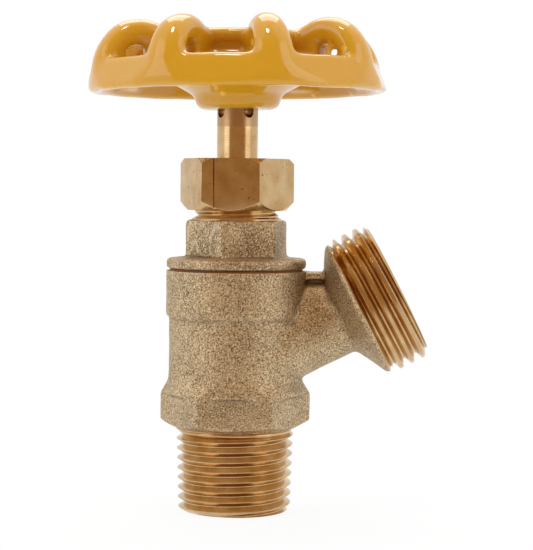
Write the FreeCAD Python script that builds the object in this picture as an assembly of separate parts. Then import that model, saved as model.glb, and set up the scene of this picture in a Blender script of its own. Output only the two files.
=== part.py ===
import FreeCAD, Part
import math
import os

# A boiler drain valve: half-inch pipe thread below, hose thread on the angled outlet,
# rising stem with a lobed handwheel above.
# Millimetres. Z runs up the stem from the centre of the inlet end face.
# The outlet leans up and out towards +X, and the valve stands shut.

V = FreeCAD.Vector

# Inlet pipe thread, tapered
PIPE_PITCH = 25.4 / 14
PIPE_CREST_R = 10.36
PIPE_TAPER = 1 / 32
PIPE_LENGTH = 15.5
PIPE_DEPTH = 1.25
PIPE_BORE_R = 6.8
PIPE_LEAD_IN = 1.1

# Cast wrench hexagon above the pipe thread
HEX_FLATS = 23.8
HEX_EDGE_ROUND = 1.0
HEX_FOOT_R = 10.95
HEX_FULL_Z = 17.5
HEX_SHOULDER_Z = 21.6
HEX_TOP_Z = 24.9

# Barrel
WAIST_R = 12.3
WAIST_Z = 22.6
COLLAR_R = 12.9
COLLAR_Z = 36.2
COLLAR_SLOPE = 0.7
BODY_TOP_Z = 44.4
BODY_TOP_ROUND = 0.4

# Seat and chamber
SEAT_Z = 22.6
SEAT_BORE_R = 5.6
SEAT_RIM_R = 7.2
CHAMBER_FLOOR_Z = 20.6
CHAMBER_R = 9.4
BONNET_BORE_R = 9.95
BONNET_BORE_Z = 36.2

# Angled outlet with a hose thread
OUTLET_ANGLE = 27.0
OUTLET_CROSS_Z = 26.0
OUTLET_END = 33.5
OUTLET_RIM = 25.2
OUTLET_NECK_R = 6.8
OUTLET_BORE_R = 4.9
HOSE_PITCH = 25.4 / 11.5
HOSE_CREST_R = 13.45
HOSE_DEPTH = 1.4
HOSE_RECESS_R = 9.5
HOSE_RECESS_DEPTH = 7.6
HOSE_LEAD_IN = 1.15
WEB_TOP_HALF = 2.3
WEB_FOOT_HALF = 5.4
WEB_FOOT_Z = 33.0

# Bonnet and its gasket
GASKET_THICK = 0.35
GASKET_R = 12.25
FLANGE_THICK = 2.2
FLANGE_R = 12.9
FLANGE_ROUND = 0.6
SPIGOT_R = 9.85
SPIGOT_FOOT_Z = 37.0
BONNET_FLATS = 16.9
BONNET_TURN = 15.6
BONNET_EDGE_ROUND = 0.5
BONNET_HEX_TOP_Z = 53.8
SHOULDER_R = 8.3
SHOULDER_TOP_Z = 54.5
NECK_R = 7.7
NECK_TOP_Z = 62.4
NECK_PITCH = 25.4 / 18
NECK_DEPTH = 0.6
STUFFING_R = 5.6
STUFFING_Z = 56.2

# Packing
PACKING_WASHER_THICK = 0.8
PACKING_RING_THICK = 1.7
PACKING_RINGS = 2
PACKING_FIT = 0.02

# Packing nut
NUT_FLATS = 18.3
NUT_TURN = -6.5
NUT_FOOT_Z = 55.5
NUT_TOP_Z = 65.0
NUT_ROOF = 1.8
NUT_TOP_CHAMFER = 0.8
NUT_FOOT_CHAMFER = 1.5
NUT_THREAD_CLEAR = 0.05

# Stem, with its lifting thread
STEM_R = 3.76
STEM_FIT = 0.09
LIFT_PITCH = 25.4 / 12
LIFT_TURNS = 3
STEM_THREAD_R = 4.75
STEM_THREAD_FOOT_Z = 31.4
STEM_THREAD_TOP_Z = 48.2
THREAD_GAP = 0.1
NUT_THREAD_TOP_Z = 46.4
STEM_NECK_R = 2.3
BUTTON_R = 3.4
BUTTON_Z = 27.3
BUTTON_THICK = 1.6
FLUTES = 4
FLUTE_R = 1.05
FLUTE_TURN = -55.0
FLUTE_RUNOUT = 0.5
STEM_TOP_W = 6.0

# Disc holder, seat washer and its screw
WASHER_R = 6.95
WASHER_HOLE_R = 1.85
WASHER_THICK = 2.58
WASHER_FOOT_Z = 22.62
HOLDER_R = 7.9
HOLDER_RIM_Z = 23.9
HOLDER_PLATE = 1.2
HOLDER_BOSS_R = 4.7
HOLDER_LIP = 1.2
SOCKET_CLEAR = 0.1
DISC_SCREW_R = 1.75
DISC_SCREW_HEAD_R = 3.2
DISC_SCREW_HEAD = 1.6
DISC_SCREW_LENGTH = 4.2

# Handwheel. Heights with a W are above the underside of its rim.
WHEEL_Z = 77.2
WHEEL_R = 27.6
LOBES = 8
LOBE_TURN = 15.5
HUB_R = 7.9
HUB_FOOT_W = -3.2
HUB_ROUND = 2.4
DISC_TOP_W = 10.9
DISC_FOOT_W = 8.4
DISC_R = 14.0
LOBE_PATH = [(12.3, 8.4), (13.9, 9.1), (15.9, 10.2), (17.2, 10.75), (18.5, 10.85), (19.8, 10.65),
             (20.9, 10.25), (22.0, 9.5), (23.1, 8.3), (23.75, 7.1), (24.2, 5.6), (24.6, 2.9), (24.8, 1.4)]
LOBE_HALF = 2.45
LOBE_FOOT_HALF = 3.8
LOBE_THICK = 2.4
WEB_HALF = 1.9
EYE_R = 19.4
EYE_W = 7.4
EYE_WIDE = 4.0
EYE_HIGH = 2.2
LIP_W = 5.7
LIP_INNER_R = 22.6
SKIRT_INNER_R = 24.9
FACET_R = 27.2
FACET_DRAFT = 21.0
DISH_R = 17.7
DISH_FOOT_W = -0.7
DISH_TOP_W = 5.7
DISH_THICK = 2.2
POCKET_R = 12.0
RECESS_R = 7.3
RECESS_FLOOR_W = 8.0
KEY_R = 0.95

# Handwheel screw and washer
HANDLE_WASHER_R = 6.2
HANDLE_WASHER_THICK = 0.8
HANDLE_SCREW_R = 2.0
HANDLE_SCREW_LENGTH = 9.0
HANDLE_HEAD_R = 3.9
HANDLE_HEAD = 2.3
SCREW_CLEAR = 0.04

LIFT = LIFT_TURNS * LIFT_PITCH
FLANGE_FOOT_Z = BODY_TOP_Z + GASKET_THICK
FLANGE_TOP_Z = FLANGE_FOOT_Z + FLANGE_THICK
STEM_TOP_Z = WHEEL_Z + STEM_TOP_W


def is_arc(step):
    return isinstance(step[0], tuple)


def outline(steps):
    """Closed outline in the XZ plane. A step is a point, or (middle, end) for an arc."""
    edges = []
    here = steps[0]
    for step in list(steps[1:]) + [steps[0]]:
        start = V(here[0], 0, here[1])
        if is_arc(step):
            middle, end = step
            edges.append(Part.Arc(start, V(middle[0], 0, middle[1]), V(end[0], 0, end[1])).toShape())
            here = end
        elif math.dist(here, step) > 1e-6:
            edges.append(Part.LineSegment(start, V(step[0], 0, step[1])).toShape())
            here = step
    return Part.Face(Part.Wire(edges))


def turned(*steps):
    """Solid of revolution about Z from an outline of (radius, height)."""
    return outline(steps).revolve(V(0, 0, 0), V(0, 0, 1), 360)


def rod(radius, low, high):
    return Part.makeCylinder(radius, high - low, V(0, 0, low))


def ring(outer, inner, low, high):
    return rod(outer, low, high).cut(rod(inner, low - 1, high + 1))


def hexagon(flats, low, high, turn, edge_round):
    """Hexagonal prism with one corner turned from +X, and rounded upright edges."""
    corner = flats / math.sqrt(3)
    points = []
    for k in range(7):
        angle = math.radians(turn + 60 * k)
        points.append(V(corner * math.cos(angle), corner * math.sin(angle), low))
    prism = Part.Face(Part.makePolygon(points)).extrude(V(0, 0, high - low))
    if edge_round == 0:
        return prism
    upright = [e for e in prism.Edges if abs(e.Vertexes[0].Z - e.Vertexes[1].Z) > 0.5]
    return prism.makeFillet(edge_round, upright)


def helix_sweep(radius, pitch, low, high, section, taper_angle=0.0):
    """Sweep a thread section, given as (radius offset, height offset) points, up a helix."""
    helix = Part.makeLongHelix(pitch, high - low, radius, taper_angle)
    points = [V(radius + dr, 0, dz) for dr, dz in section]
    profile = Part.makePolygon(points + [points[0]])
    swept = Part.Wire(helix.Edges).makePipeShell([profile], True, True)
    return swept.translated(V(0, 0, low))


def groove_section(pitch, depth, crest_flat, root_flat, proud):
    """Trapezoid that cuts one turn of a thread, standing a little proud of the crest."""
    slope = (pitch - crest_flat - root_flat) / 2 / depth
    mouth = (pitch - crest_flat) / 2 + slope * proud
    return [(proud, -mouth), (proud, mouth), (-depth, root_flat / 2), (-depth, -root_flat / 2)]


def cut_thread(shape, groove):
    """Cut a swept groove, and stop if the cut left the solid as it was or in pieces."""
    cut = shape.cut(groove)
    if cut.Volume > shape.Volume - 5 or len(cut.Solids) != 1:
        raise ValueError("a thread was not cut")
    return cut


def outlet_place(shape):
    """Lay a shape modelled up Z along the outlet's axis."""
    placed = shape.copy()
    placed.rotate(V(0, 0, 0), V(0, 1, 0), 90 - OUTLET_ANGLE)
    placed.translate(V(0, 0, OUTLET_CROSS_Z))
    return placed


def pipe_end():
    """Tapered pipe thread, chamfered at its mouth."""
    lead_r = PIPE_CREST_R - PIPE_LEAD_IN
    top_r = PIPE_CREST_R + PIPE_LENGTH * PIPE_TAPER
    lead_top_r = PIPE_CREST_R + PIPE_LEAD_IN * PIPE_TAPER
    blank = turned((0, 0), (lead_r, 0), (lead_top_r, PIPE_LEAD_IN), (top_r, PIPE_LENGTH),
                   (top_r, PIPE_LENGTH + 2), (0, PIPE_LENGTH + 2))
    angle = math.degrees(math.atan(PIPE_TAPER))
    section = groove_section(PIPE_PITCH, PIPE_DEPTH, 0.24, 0.12, 0.1)
    low = -PIPE_PITCH
    radius = PIPE_CREST_R + low * PIPE_TAPER
    groove = helix_sweep(radius, PIPE_PITCH, low, PIPE_LENGTH - 0.75, section, angle)
    return cut_thread(blank, groove)


def wrench_hexagon():
    """Cast hexagon with a coned foot and sloping shoulders that meet the barrel."""
    corner = HEX_FLATS / math.sqrt(3)
    prism = hexagon(HEX_FLATS, PIPE_LENGTH, HEX_TOP_Z, 0, HEX_EDGE_ROUND)
    mid_z = (HEX_SHOULDER_Z + HEX_TOP_Z) / 2
    trim = turned((0, PIPE_LENGTH), (HEX_FOOT_R, PIPE_LENGTH), (corner + 0.2, HEX_FULL_Z),
                  (corner + 0.2, HEX_SHOULDER_Z),
                  ((WAIST_R + 1.05, mid_z), (WAIST_R - 0.1, HEX_TOP_Z)), (0, HEX_TOP_Z))
    return prism.common(trim)


def barrel():
    edge = BODY_TOP_ROUND
    mid = edge * (1 - math.sqrt(0.5))
    return turned((0, WAIST_Z - 1), (WAIST_R - 1.0, WAIST_Z - 1), (WAIST_R, WAIST_Z),
                  (WAIST_R, COLLAR_Z - COLLAR_SLOPE), (COLLAR_R, COLLAR_Z),
                  (COLLAR_R, BODY_TOP_Z - edge),
                  ((COLLAR_R - mid, BODY_TOP_Z - mid), (COLLAR_R - edge, BODY_TOP_Z)),
                  (0, BODY_TOP_Z))


def outlet_end():
    """Neck, flare and threaded hose end, as one turning along the outlet's axis."""
    neck = OUTLET_NECK_R
    crest = HOSE_CREST_R
    blank = turned(
        (0, 4), (neck - 0.3, 4), (neck, OUTLET_RIM - 4.8),
        ((neck + 0.75, OUTLET_RIM - 3.1), (neck + 2.5, OUTLET_RIM - 1.9)),
        (crest - 0.25, OUTLET_RIM - 0.15), (crest, OUTLET_RIM + 0.25),
        (crest, OUTLET_END - HOSE_LEAD_IN), (crest - HOSE_LEAD_IN, OUTLET_END), (0, OUTLET_END))
    section = groove_section(HOSE_PITCH, HOSE_DEPTH, 0.5, 0.3, 0.15)
    low = OUTLET_RIM + 1.45
    groove = helix_sweep(HOSE_CREST_R, HOSE_PITCH, low, OUTLET_END + HOSE_PITCH, section)
    return outlet_place(cut_thread(blank, groove))


def outlet_web():
    """Drafted rib that fills the corner between the barrel and the flare."""
    top = BODY_TOP_Z - 0.1
    shoulder = top - 1.6
    half_top = WEB_TOP_HALF
    half_foot = WEB_FOOT_HALF
    points = [(-half_top, top), (half_top, top), (half_top + 0.2, shoulder),
              (half_foot, WEB_FOOT_Z), (half_foot, OUTLET_CROSS_Z + 3),
              (-half_foot, OUTLET_CROSS_Z + 3), (-half_foot, WEB_FOOT_Z), (-half_top - 0.2, shoulder)]
    loop = [V(WAIST_R - 3, y, z) for y, z in points]
    rib = Part.Face(Part.makePolygon(loop + [loop[0]])).extrude(V(20, 0, 0))
    keep = outlet_place(rod(40, 0, OUTLET_RIM - 1.0))
    return rib.common(keep)


def inner_waterway():
    """Inlet bore, port, chamber round the seat, and the bore for the bonnet."""
    lip = 0.5
    passage = turned(
        (0, -1), (PIPE_BORE_R, -1), (PIPE_BORE_R, 18.2), (SEAT_BORE_R, 19.4),
        (SEAT_BORE_R, SEAT_Z - lip), (SEAT_BORE_R + lip, SEAT_Z), (SEAT_RIM_R - lip, SEAT_Z),
        (SEAT_RIM_R, SEAT_Z - lip), (SEAT_RIM_R, CHAMBER_FLOOR_Z), (CHAMBER_R, CHAMBER_FLOOR_Z),
        (CHAMBER_R, BONNET_BORE_Z), (BONNET_BORE_R, BONNET_BORE_Z + 0.55),
        (BONNET_BORE_R, BODY_TOP_Z + 1), (0, BODY_TOP_Z + 1))
    return passage


def outlet_waterway():
    cone_foot = OUTLET_END - HOSE_RECESS_DEPTH
    return outlet_place(turned(
        (0, 7.5), (OUTLET_BORE_R, 7.5), (OUTLET_BORE_R, cone_foot - 3.6),
        (HOSE_RECESS_R, cone_foot), (HOSE_RECESS_R, OUTLET_END + 1), (0, OUTLET_END + 1)))


def valve_body():
    body = wrench_hexagon()
    for piece in (barrel(), outlet_web(), outlet_end(), pipe_end()):
        body = body.fuse(piece)
    body = body.cut(inner_waterway())
    return body.cut(outlet_waterway())


def bonnet_gasket():
    return ring(GASKET_R, SPIGOT_R + 0.15, BODY_TOP_Z, FLANGE_FOOT_Z)


def bonnet_blank():
    edge = FLANGE_ROUND
    mid = edge * (1 - math.sqrt(0.5))
    flange = turned(
        (0, SPIGOT_FOOT_Z), (SPIGOT_R - 0.8, SPIGOT_FOOT_Z), (SPIGOT_R, SPIGOT_FOOT_Z + 0.8),
        (SPIGOT_R, FLANGE_FOOT_Z), (FLANGE_R - edge, FLANGE_FOOT_Z),
        ((FLANGE_R - mid, FLANGE_FOOT_Z + mid), (FLANGE_R, FLANGE_FOOT_Z + edge)),
        (FLANGE_R, FLANGE_TOP_Z - edge),
        ((FLANGE_R - mid, FLANGE_TOP_Z - mid), (FLANGE_R - edge, FLANGE_TOP_Z)), (0, FLANGE_TOP_Z))
    corner = BONNET_FLATS / math.sqrt(3)
    prism = hexagon(BONNET_FLATS, FLANGE_TOP_Z - 0.3, BONNET_HEX_TOP_Z, BONNET_TURN, BONNET_EDGE_ROUND)
    trim = turned((0, 0), (corner + 1, 0), (corner + 1, BONNET_HEX_TOP_Z - 1.1),
                  (corner - 0.9, BONNET_HEX_TOP_Z), (0, BONNET_HEX_TOP_Z))
    neck = turned((0, BONNET_HEX_TOP_Z - 1), (SHOULDER_R, BONNET_HEX_TOP_Z - 1),
                  (SHOULDER_R, BONNET_HEX_TOP_Z + 0.2), (NECK_R, SHOULDER_TOP_Z),
                  (NECK_R, NECK_TOP_Z - 0.6), (NECK_R - 0.6, NECK_TOP_Z), (0, NECK_TOP_Z))
    return flange.fuse(prism.common(trim)).fuse(neck)


def lift_thread(extra):
    """Ridge of the lifting thread, from inside the stem out to its crest."""
    height = STEM_THREAD_R - STEM_R
    crest_half = LIFT_PITCH * 0.16
    root_half = LIFT_PITCH * 0.30
    slope = (root_half - crest_half) / height
    inside = 0.25
    foot_half = root_half + slope * inside
    section = [(-height - inside, -foot_half - extra), (extra, -crest_half - extra),
               (extra, crest_half + extra), (-height - inside, foot_half + extra)]
    return section


def bonnet():
    """Bonnet with the fixed half of the lifting thread and the stuffing box."""
    shape = bonnet_blank()
    bore_r = STEM_R + STEM_FIT
    shape = shape.cut(rod(bore_r, SPIGOT_FOOT_Z - 1, NECK_TOP_Z + 1))
    relief_top = STEM_THREAD_TOP_Z + LIFT + 0.05
    shape = shape.cut(rod(STEM_THREAD_R + 2 * THREAD_GAP, NUT_THREAD_TOP_Z, relief_top))
    shape = shape.cut(rod(STUFFING_R, STUFFING_Z, NECK_TOP_Z + 1))
    low = STEM_THREAD_FOOT_Z
    groove = helix_sweep(STEM_THREAD_R, LIFT_PITCH, low, NUT_THREAD_TOP_Z + LIFT_PITCH,
                         lift_thread(THREAD_GAP))
    shape = cut_thread(shape, groove)
    section = groove_section(NECK_PITCH, NECK_DEPTH, 0.35, 0.2, 0.08)
    neck_groove = helix_sweep(NECK_R, NECK_PITCH, SHOULDER_TOP_Z + 0.35, NECK_TOP_Z + NECK_PITCH, section)
    return cut_thread(shape, neck_groove)


def packing_washer():
    return ring(STUFFING_R - 0.05, STEM_R + STEM_FIT, STUFFING_Z, STUFFING_Z + PACKING_WASHER_THICK)


def packing_ring(index):
    """One moulded ring of the packing, counted from the bottom."""
    low = STUFFING_Z + PACKING_WASHER_THICK + index * PACKING_RING_THICK
    return ring(STUFFING_R - PACKING_FIT, STEM_R + PACKING_FIT, low, low + PACKING_RING_THICK)


def packing_gland():
    low = STUFFING_Z + PACKING_WASHER_THICK + PACKING_RINGS * PACKING_RING_THICK
    return ring(STUFFING_R - 0.08, STEM_R + STEM_FIT, low, NUT_TOP_Z - NUT_ROOF)


def packing_nut():
    """Machined hexagon nut whose roof presses the gland down on the packing."""
    corner = NUT_FLATS / math.sqrt(3)
    prism = hexagon(NUT_FLATS, NUT_FOOT_Z, NUT_TOP_Z, NUT_TURN, 0)
    trim = turned((0, NUT_FOOT_Z), (corner - NUT_FOOT_CHAMFER, NUT_FOOT_Z),
                  (corner - 0.12, NUT_FOOT_Z + NUT_FOOT_CHAMFER * 1.1),
                  (corner - 0.12, NUT_TOP_Z - NUT_TOP_CHAMFER * 1.2),
                  (corner - NUT_TOP_CHAMFER, NUT_TOP_Z), (0, NUT_TOP_Z))
    nut = prism.common(trim)
    nut = nut.cut(rod(NECK_R + NUT_THREAD_CLEAR, NUT_FOOT_Z - 1, NUT_TOP_Z - NUT_ROOF))
    return nut.cut(rod(STEM_R + STEM_FIT, NUT_FOOT_Z, NUT_TOP_Z + 1))


def flute(low, high, radius):
    """Four round bars set in the stem's surface, as flutes or as the keys that fill them."""
    bars = []
    for k in range(FLUTES):
        angle = math.radians(FLUTE_TURN + 360 / FLUTES * k)
        place = V(STEM_R * math.cos(angle), STEM_R * math.sin(angle), low)
        bar = Part.makeCylinder(radius, high - low, place)
        bars.append(bar.fuse(Part.makeSphere(radius, place)))
    return bars[0].fuse(bars[1:])


def stem():
    """Stem with a fluted head, the lifting thread and the button that lifts the disc holder."""
    button_top = BUTTON_Z + BUTTON_THICK
    shape = turned(
        (0, BUTTON_Z), (BUTTON_R - 0.4, BUTTON_Z), (BUTTON_R, BUTTON_Z + 0.4), (BUTTON_R, button_top),
        (STEM_NECK_R, button_top), (STEM_NECK_R, STEM_THREAD_FOOT_Z - 0.6),
        (STEM_R, STEM_THREAD_FOOT_Z), (STEM_R, STEM_TOP_Z - 0.5), (STEM_R - 0.5, STEM_TOP_Z),
        (0, STEM_TOP_Z))
    ridge = helix_sweep(STEM_THREAD_R, LIFT_PITCH, STEM_THREAD_FOOT_Z - LIFT_PITCH,
                        STEM_THREAD_TOP_Z + LIFT_PITCH, lift_thread(0))
    lead = STEM_THREAD_R - STEM_R
    trim = turned((0, STEM_THREAD_FOOT_Z), (STEM_R, STEM_THREAD_FOOT_Z),
                  (STEM_THREAD_R + 0.1, STEM_THREAD_FOOT_Z + lead),
                  (STEM_THREAD_R + 0.1, STEM_THREAD_TOP_Z - lead),
                  (STEM_R, STEM_THREAD_TOP_Z), (0, STEM_THREAD_TOP_Z))
    shape = shape.fuse(ridge.common(trim))
    shape = shape.cut(flute(WHEEL_Z + HUB_FOOT_W - FLUTE_RUNOUT, STEM_TOP_Z + 1, FLUTE_R))
    screw_foot = WHEEL_Z + RECESS_FLOOR_W + HANDLE_WASHER_THICK - HANDLE_SCREW_LENGTH
    return shape.cut(rod(HANDLE_SCREW_R + SCREW_CLEAR, screw_foot - 1.5, STEM_TOP_Z + 1))


def disc_holder():
    """Cup that holds the seat washer, with a socket that turns freely on the stem's button."""
    plate_z = WASHER_FOOT_Z + WASHER_THICK
    boss_z = plate_z + HOLDER_PLATE
    socket_low = BUTTON_Z - SOCKET_CLEAR
    socket_high = BUTTON_Z + BUTTON_THICK + SOCKET_CLEAR
    cup = turned(
        (0, plate_z), (WASHER_R + 0.05, plate_z), (WASHER_R + 0.05, HOLDER_RIM_Z),
        (HOLDER_R - 0.3, HOLDER_RIM_Z), (HOLDER_R, HOLDER_RIM_Z + 0.3), (HOLDER_R, boss_z - 0.4),
        (HOLDER_R - 0.4, boss_z), (HOLDER_BOSS_R, boss_z), (HOLDER_BOSS_R, socket_high + HOLDER_LIP - 0.6),
        (HOLDER_BOSS_R - 0.6, socket_high + HOLDER_LIP), (0, socket_high + HOLDER_LIP))
    cup = cup.cut(rod(BUTTON_R + SOCKET_CLEAR, socket_low, socket_high))
    cup = cup.cut(rod(STEM_NECK_R + SOCKET_CLEAR, socket_low, socket_high + HOLDER_LIP + 1))
    return cup.cut(rod(DISC_SCREW_R + SCREW_CLEAR, plate_z - 1, socket_low + 1))


def seat_washer():
    low = WASHER_FOOT_Z
    high = low + WASHER_THICK
    return turned((WASHER_HOLE_R, low), (WASHER_R - 0.4, low), (WASHER_R, low + 0.4),
                  (WASHER_R, high), (WASHER_HOLE_R, high))


def slotted_screw(head_low, head_high, head_r, shank_r, length, points_up, slot_depth):
    """Slotted screw whose shank runs up from the head, or down from it."""
    head = rod(head_r, head_low, head_high)
    crown_z = head_low if points_up else head_high
    rim = [e for e in head.Edges if e.Closed and abs(e.Vertexes[0].Z - crown_z) < 1e-6]
    head = head.makeFillet(0.5, rim)
    if points_up:
        shank = rod(shank_r, head_low + 0.5, head_high + length)
        slot_z = head_low
    else:
        shank = rod(shank_r, head_low - length, head_high - 0.5)
        slot_z = head_high - slot_depth
    slot = Part.makeBox(4 * head_r, 0.9, slot_depth, V(-2 * head_r, -0.45, slot_z))
    return head.fuse(shank).cut(slot)


def seat_washer_screw():
    high = WASHER_FOOT_Z
    return slotted_screw(high - DISC_SCREW_HEAD, high, DISC_SCREW_HEAD_R, DISC_SCREW_R,
                         DISC_SCREW_LENGTH, True, 0.8)


def wheel_core():
    """Hub, coned dish and the disc in the middle of the wheel, as one turning."""
    hub_mid = HUB_ROUND * (1 - math.sqrt(0.5))
    disc_mid = (DISC_FOOT_W + DISC_TOP_W) / 2
    return turned(
        (0, HUB_FOOT_W), (HUB_R - HUB_ROUND, HUB_FOOT_W),
        ((HUB_R - hub_mid, HUB_FOOT_W + hub_mid), (HUB_R, HUB_FOOT_W + HUB_ROUND)),
        (HUB_R, DISH_FOOT_W), (DISH_R - 1.0, DISH_TOP_W - DISH_THICK),
        ((DISH_R, DISH_TOP_W - 0.9), (DISH_R - 1.2, DISH_TOP_W)),
        (POCKET_R + 0.7, DISC_FOOT_W - 2.2), (POCKET_R, DISC_FOOT_W - 1.1),
        ((POCKET_R + 0.2, DISC_FOOT_W - 0.3), (DISC_R - 1.2, DISC_FOOT_W)),
        ((DISC_R, disc_mid), (DISC_R - 1.2, DISC_TOP_W)), (0, DISC_TOP_W))


def wheel_rim():
    """Rim up to its lip, flattened between the lobes."""
    rim = turned(
        (SKIRT_INNER_R - 2.2, 0), (WHEEL_R - 1.0, 0), ((WHEEL_R - 0.25, 0.25), (WHEEL_R, 1.0)),
        (WHEEL_R - 0.75, 4.7), ((WHEEL_R - 1.1, 5.4), (WHEEL_R - 1.9, LIP_W)),
        (LIP_INNER_R + 0.9, LIP_W), ((LIP_INNER_R + 0.25, LIP_W - 0.25), (LIP_INNER_R, LIP_W - 0.9)),
        (LIP_INNER_R, 0))
    for k in range(LOBES):
        block = Part.makeBox(20, 40, 60, V(0, -20, -30))
        block.rotate(V(0, 0, 0), V(0, 1, 0), -FACET_DRAFT)
        block.translate(V(FACET_R, 0, 0))
        block.rotate(V(0, 0, 0), V(0, 0, 1), LOBE_TURN + (k + 0.5) * 360 / LOBES)
        rim = rim.cut(block)
    return rim


def wheel_underside():
    """Hollow under the rim, outside the coned dish that joins the hub."""
    return turned(
        (HUB_R, HUB_FOOT_W - 1), (HUB_R, DISH_FOOT_W), (16.6, 4.3), ((19.0, 5.0), (21.6, 4.6)),
        ((23.6, 3.4), (SKIRT_INNER_R - 0.2, 1.0)), (SKIRT_INNER_R, -1), (SKIRT_INNER_R, HUB_FOOT_W - 1))


def lobe():
    """Bar that climbs from the disc, bends down and broadens into the rim, on a thinner web with an eye."""
    crest = [V(r, 0, w) for r, w in LOBE_PATH]
    curve = Part.BSplineCurve()
    curve.interpolate(crest)
    sections = []
    for place, along, half in ((crest[0], curve.FirstParameter, LOBE_HALF),
                               (crest[-1], curve.LastParameter, LOBE_FOOT_HALF)):
        across = V(0, 1, 0).cross(curve.tangent(along)[0])
        oval = Part.Ellipse(place + V(0, half, 0), place + across * LOBE_THICK, place)
        sections.append(Part.Wire(oval.toShape()))
    bar = Part.Wire(curve.toShape()).makePipeShell(sections, True, False)
    low = [V(LOBE_PATH[-2][0], 0, DISH_TOP_W - 1.5), V(DISC_R + 0.5, 0, DISH_TOP_W - 1.5)]
    border = crest[1:-1] + low
    web = Part.Face(Part.makePolygon(border + [border[0]])).extrude(V(0, 2 * WEB_HALF, 0))
    web.translate(V(0, -WEB_HALF, 0))
    loop = [V(15.5, -2.3, 4.6), V(24.2, -3.9, 4.6), V(24.2, 3.9, 4.6), V(15.5, 2.3, 4.6)]
    foot = Part.Face(Part.makePolygon(loop + [loop[0]])).extrude(V(0, 0, 1.2))
    eye = Part.makeCylinder(EYE_HIGH / 2, 20, V(0, -10, 0), V(0, 1, 0))
    shift = (EYE_WIDE - EYE_HIGH) / 2
    slot = Part.makeBox(2 * shift, 20, EYE_HIGH, V(-shift, -10, -EYE_HIGH / 2))
    slot = slot.fuse([eye.translated(V(-shift, 0, 0)), eye.translated(V(shift, 0, 0))])
    return bar.fuse([web, foot]).cut(slot.translated(V(EYE_R, 0, EYE_W)))


def handwheel():
    shapes = [wheel_rim()]
    bar = lobe()
    for k in range(LOBES):
        turned_bar = bar.copy()
        turned_bar.rotate(V(0, 0, 0), V(0, 0, 1), LOBE_TURN + k * 360 / LOBES)
        shapes.append(turned_bar)
    wheel = wheel_core().fuse(shapes).cut(wheel_underside())
    bore = rod(STEM_R + 0.04, HUB_FOOT_W - 1, STEM_TOP_W)
    bore = bore.cut(flute(HUB_FOOT_W - 2, STEM_TOP_W + 1, KEY_R))
    wheel = wheel.cut(bore)
    wheel = wheel.cut(rod(HANDLE_SCREW_R + 0.25, STEM_TOP_W - 1, DISC_TOP_W))
    wheel = wheel.cut(rod(RECESS_R, RECESS_FLOOR_W, DISC_TOP_W + 1))
    return wheel.translated(V(0, 0, WHEEL_Z))


def handwheel_washer():
    low = WHEEL_Z + RECESS_FLOOR_W
    return ring(HANDLE_WASHER_R, HANDLE_SCREW_R + 0.25, low, low + HANDLE_WASHER_THICK)


def handwheel_screw():
    low = WHEEL_Z + RECESS_FLOOR_W + HANDLE_WASHER_THICK
    return slotted_screw(low, low + HANDLE_HEAD, HANDLE_HEAD_R, HANDLE_SCREW_R,
                         HANDLE_SCREW_LENGTH, False, 1.1)


def pieces():
    named = {
        "valve_body": valve_body(),
        "bonnet": bonnet(),
        "bonnet_gasket": bonnet_gasket(),
        "packing_washer": packing_washer(),
        "packing_gland": packing_gland(),
        "packing_nut": packing_nut(),
        "stem": stem(),
        "disc_holder": disc_holder(),
        "seat_washer": seat_washer(),
        "seat_washer_screw": seat_washer_screw(),
        "handwheel": handwheel(),
        "handwheel_washer": handwheel_washer(),
        "handwheel_screw": handwheel_screw(),
    }
    for index in range(PACKING_RINGS):
        named["packing_ring_%d" % (index + 1)] = packing_ring(index)
    return named


os.makedirs("parts", exist_ok=True)
for name, shape in pieces().items():
    shape.exportStep("parts/%s.step" % name)
    print(name, shape.isValid(), len(shape.Solids), round(shape.Volume, 2))
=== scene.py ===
"""Looks of a boiler drain valve in cast and machined brass, built round its packed frame.

Metres. Z runs up the stem from the centre of the inlet's end, and the outlet leans out towards +X.
"""

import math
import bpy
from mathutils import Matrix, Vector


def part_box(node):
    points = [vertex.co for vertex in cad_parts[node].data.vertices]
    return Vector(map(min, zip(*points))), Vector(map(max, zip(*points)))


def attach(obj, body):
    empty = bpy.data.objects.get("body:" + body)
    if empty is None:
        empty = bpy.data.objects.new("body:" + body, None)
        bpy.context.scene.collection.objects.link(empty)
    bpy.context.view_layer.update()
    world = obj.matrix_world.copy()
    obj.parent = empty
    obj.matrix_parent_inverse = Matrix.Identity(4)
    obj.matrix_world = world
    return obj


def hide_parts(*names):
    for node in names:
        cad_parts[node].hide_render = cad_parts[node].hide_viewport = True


bl_info = {
    "name": "Boiler drain valve",
    "version": (1, 0, 0),
    "blender": (4, 5, 0),
    "location": "3D View > Sidebar > Drain valve",
    "description": "Castings, threads, nut, enamelled handwheel, finishes and photo stage of a boiler drain valve",
    "category": "Object",
}

import bmesh
import bpy
from bpy.props import FloatProperty, FloatVectorProperty, IntProperty, PointerProperty
from mathutils import Matrix, Vector, noise

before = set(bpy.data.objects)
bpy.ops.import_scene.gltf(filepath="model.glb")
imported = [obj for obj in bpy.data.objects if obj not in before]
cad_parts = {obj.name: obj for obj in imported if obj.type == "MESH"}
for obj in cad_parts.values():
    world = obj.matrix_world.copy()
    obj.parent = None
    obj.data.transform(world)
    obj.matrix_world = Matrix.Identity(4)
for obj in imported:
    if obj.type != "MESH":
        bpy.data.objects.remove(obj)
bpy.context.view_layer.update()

MM = 0.001
WELD = 0.001 * MM
WHITE = (1, 1, 1, 1)
FLOOR_SIZE = 4.0
LAMPS_AIM = Vector((0.004, 0, 0.05))
TURN_STEPS = 96
THREAD_STEPS = 96
PIPE_TAPER = 1 / 32
# Turns of the threads' starts
PIPE_TURN = math.radians(40)
HOSE_TURN = math.radians(-10)
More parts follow.
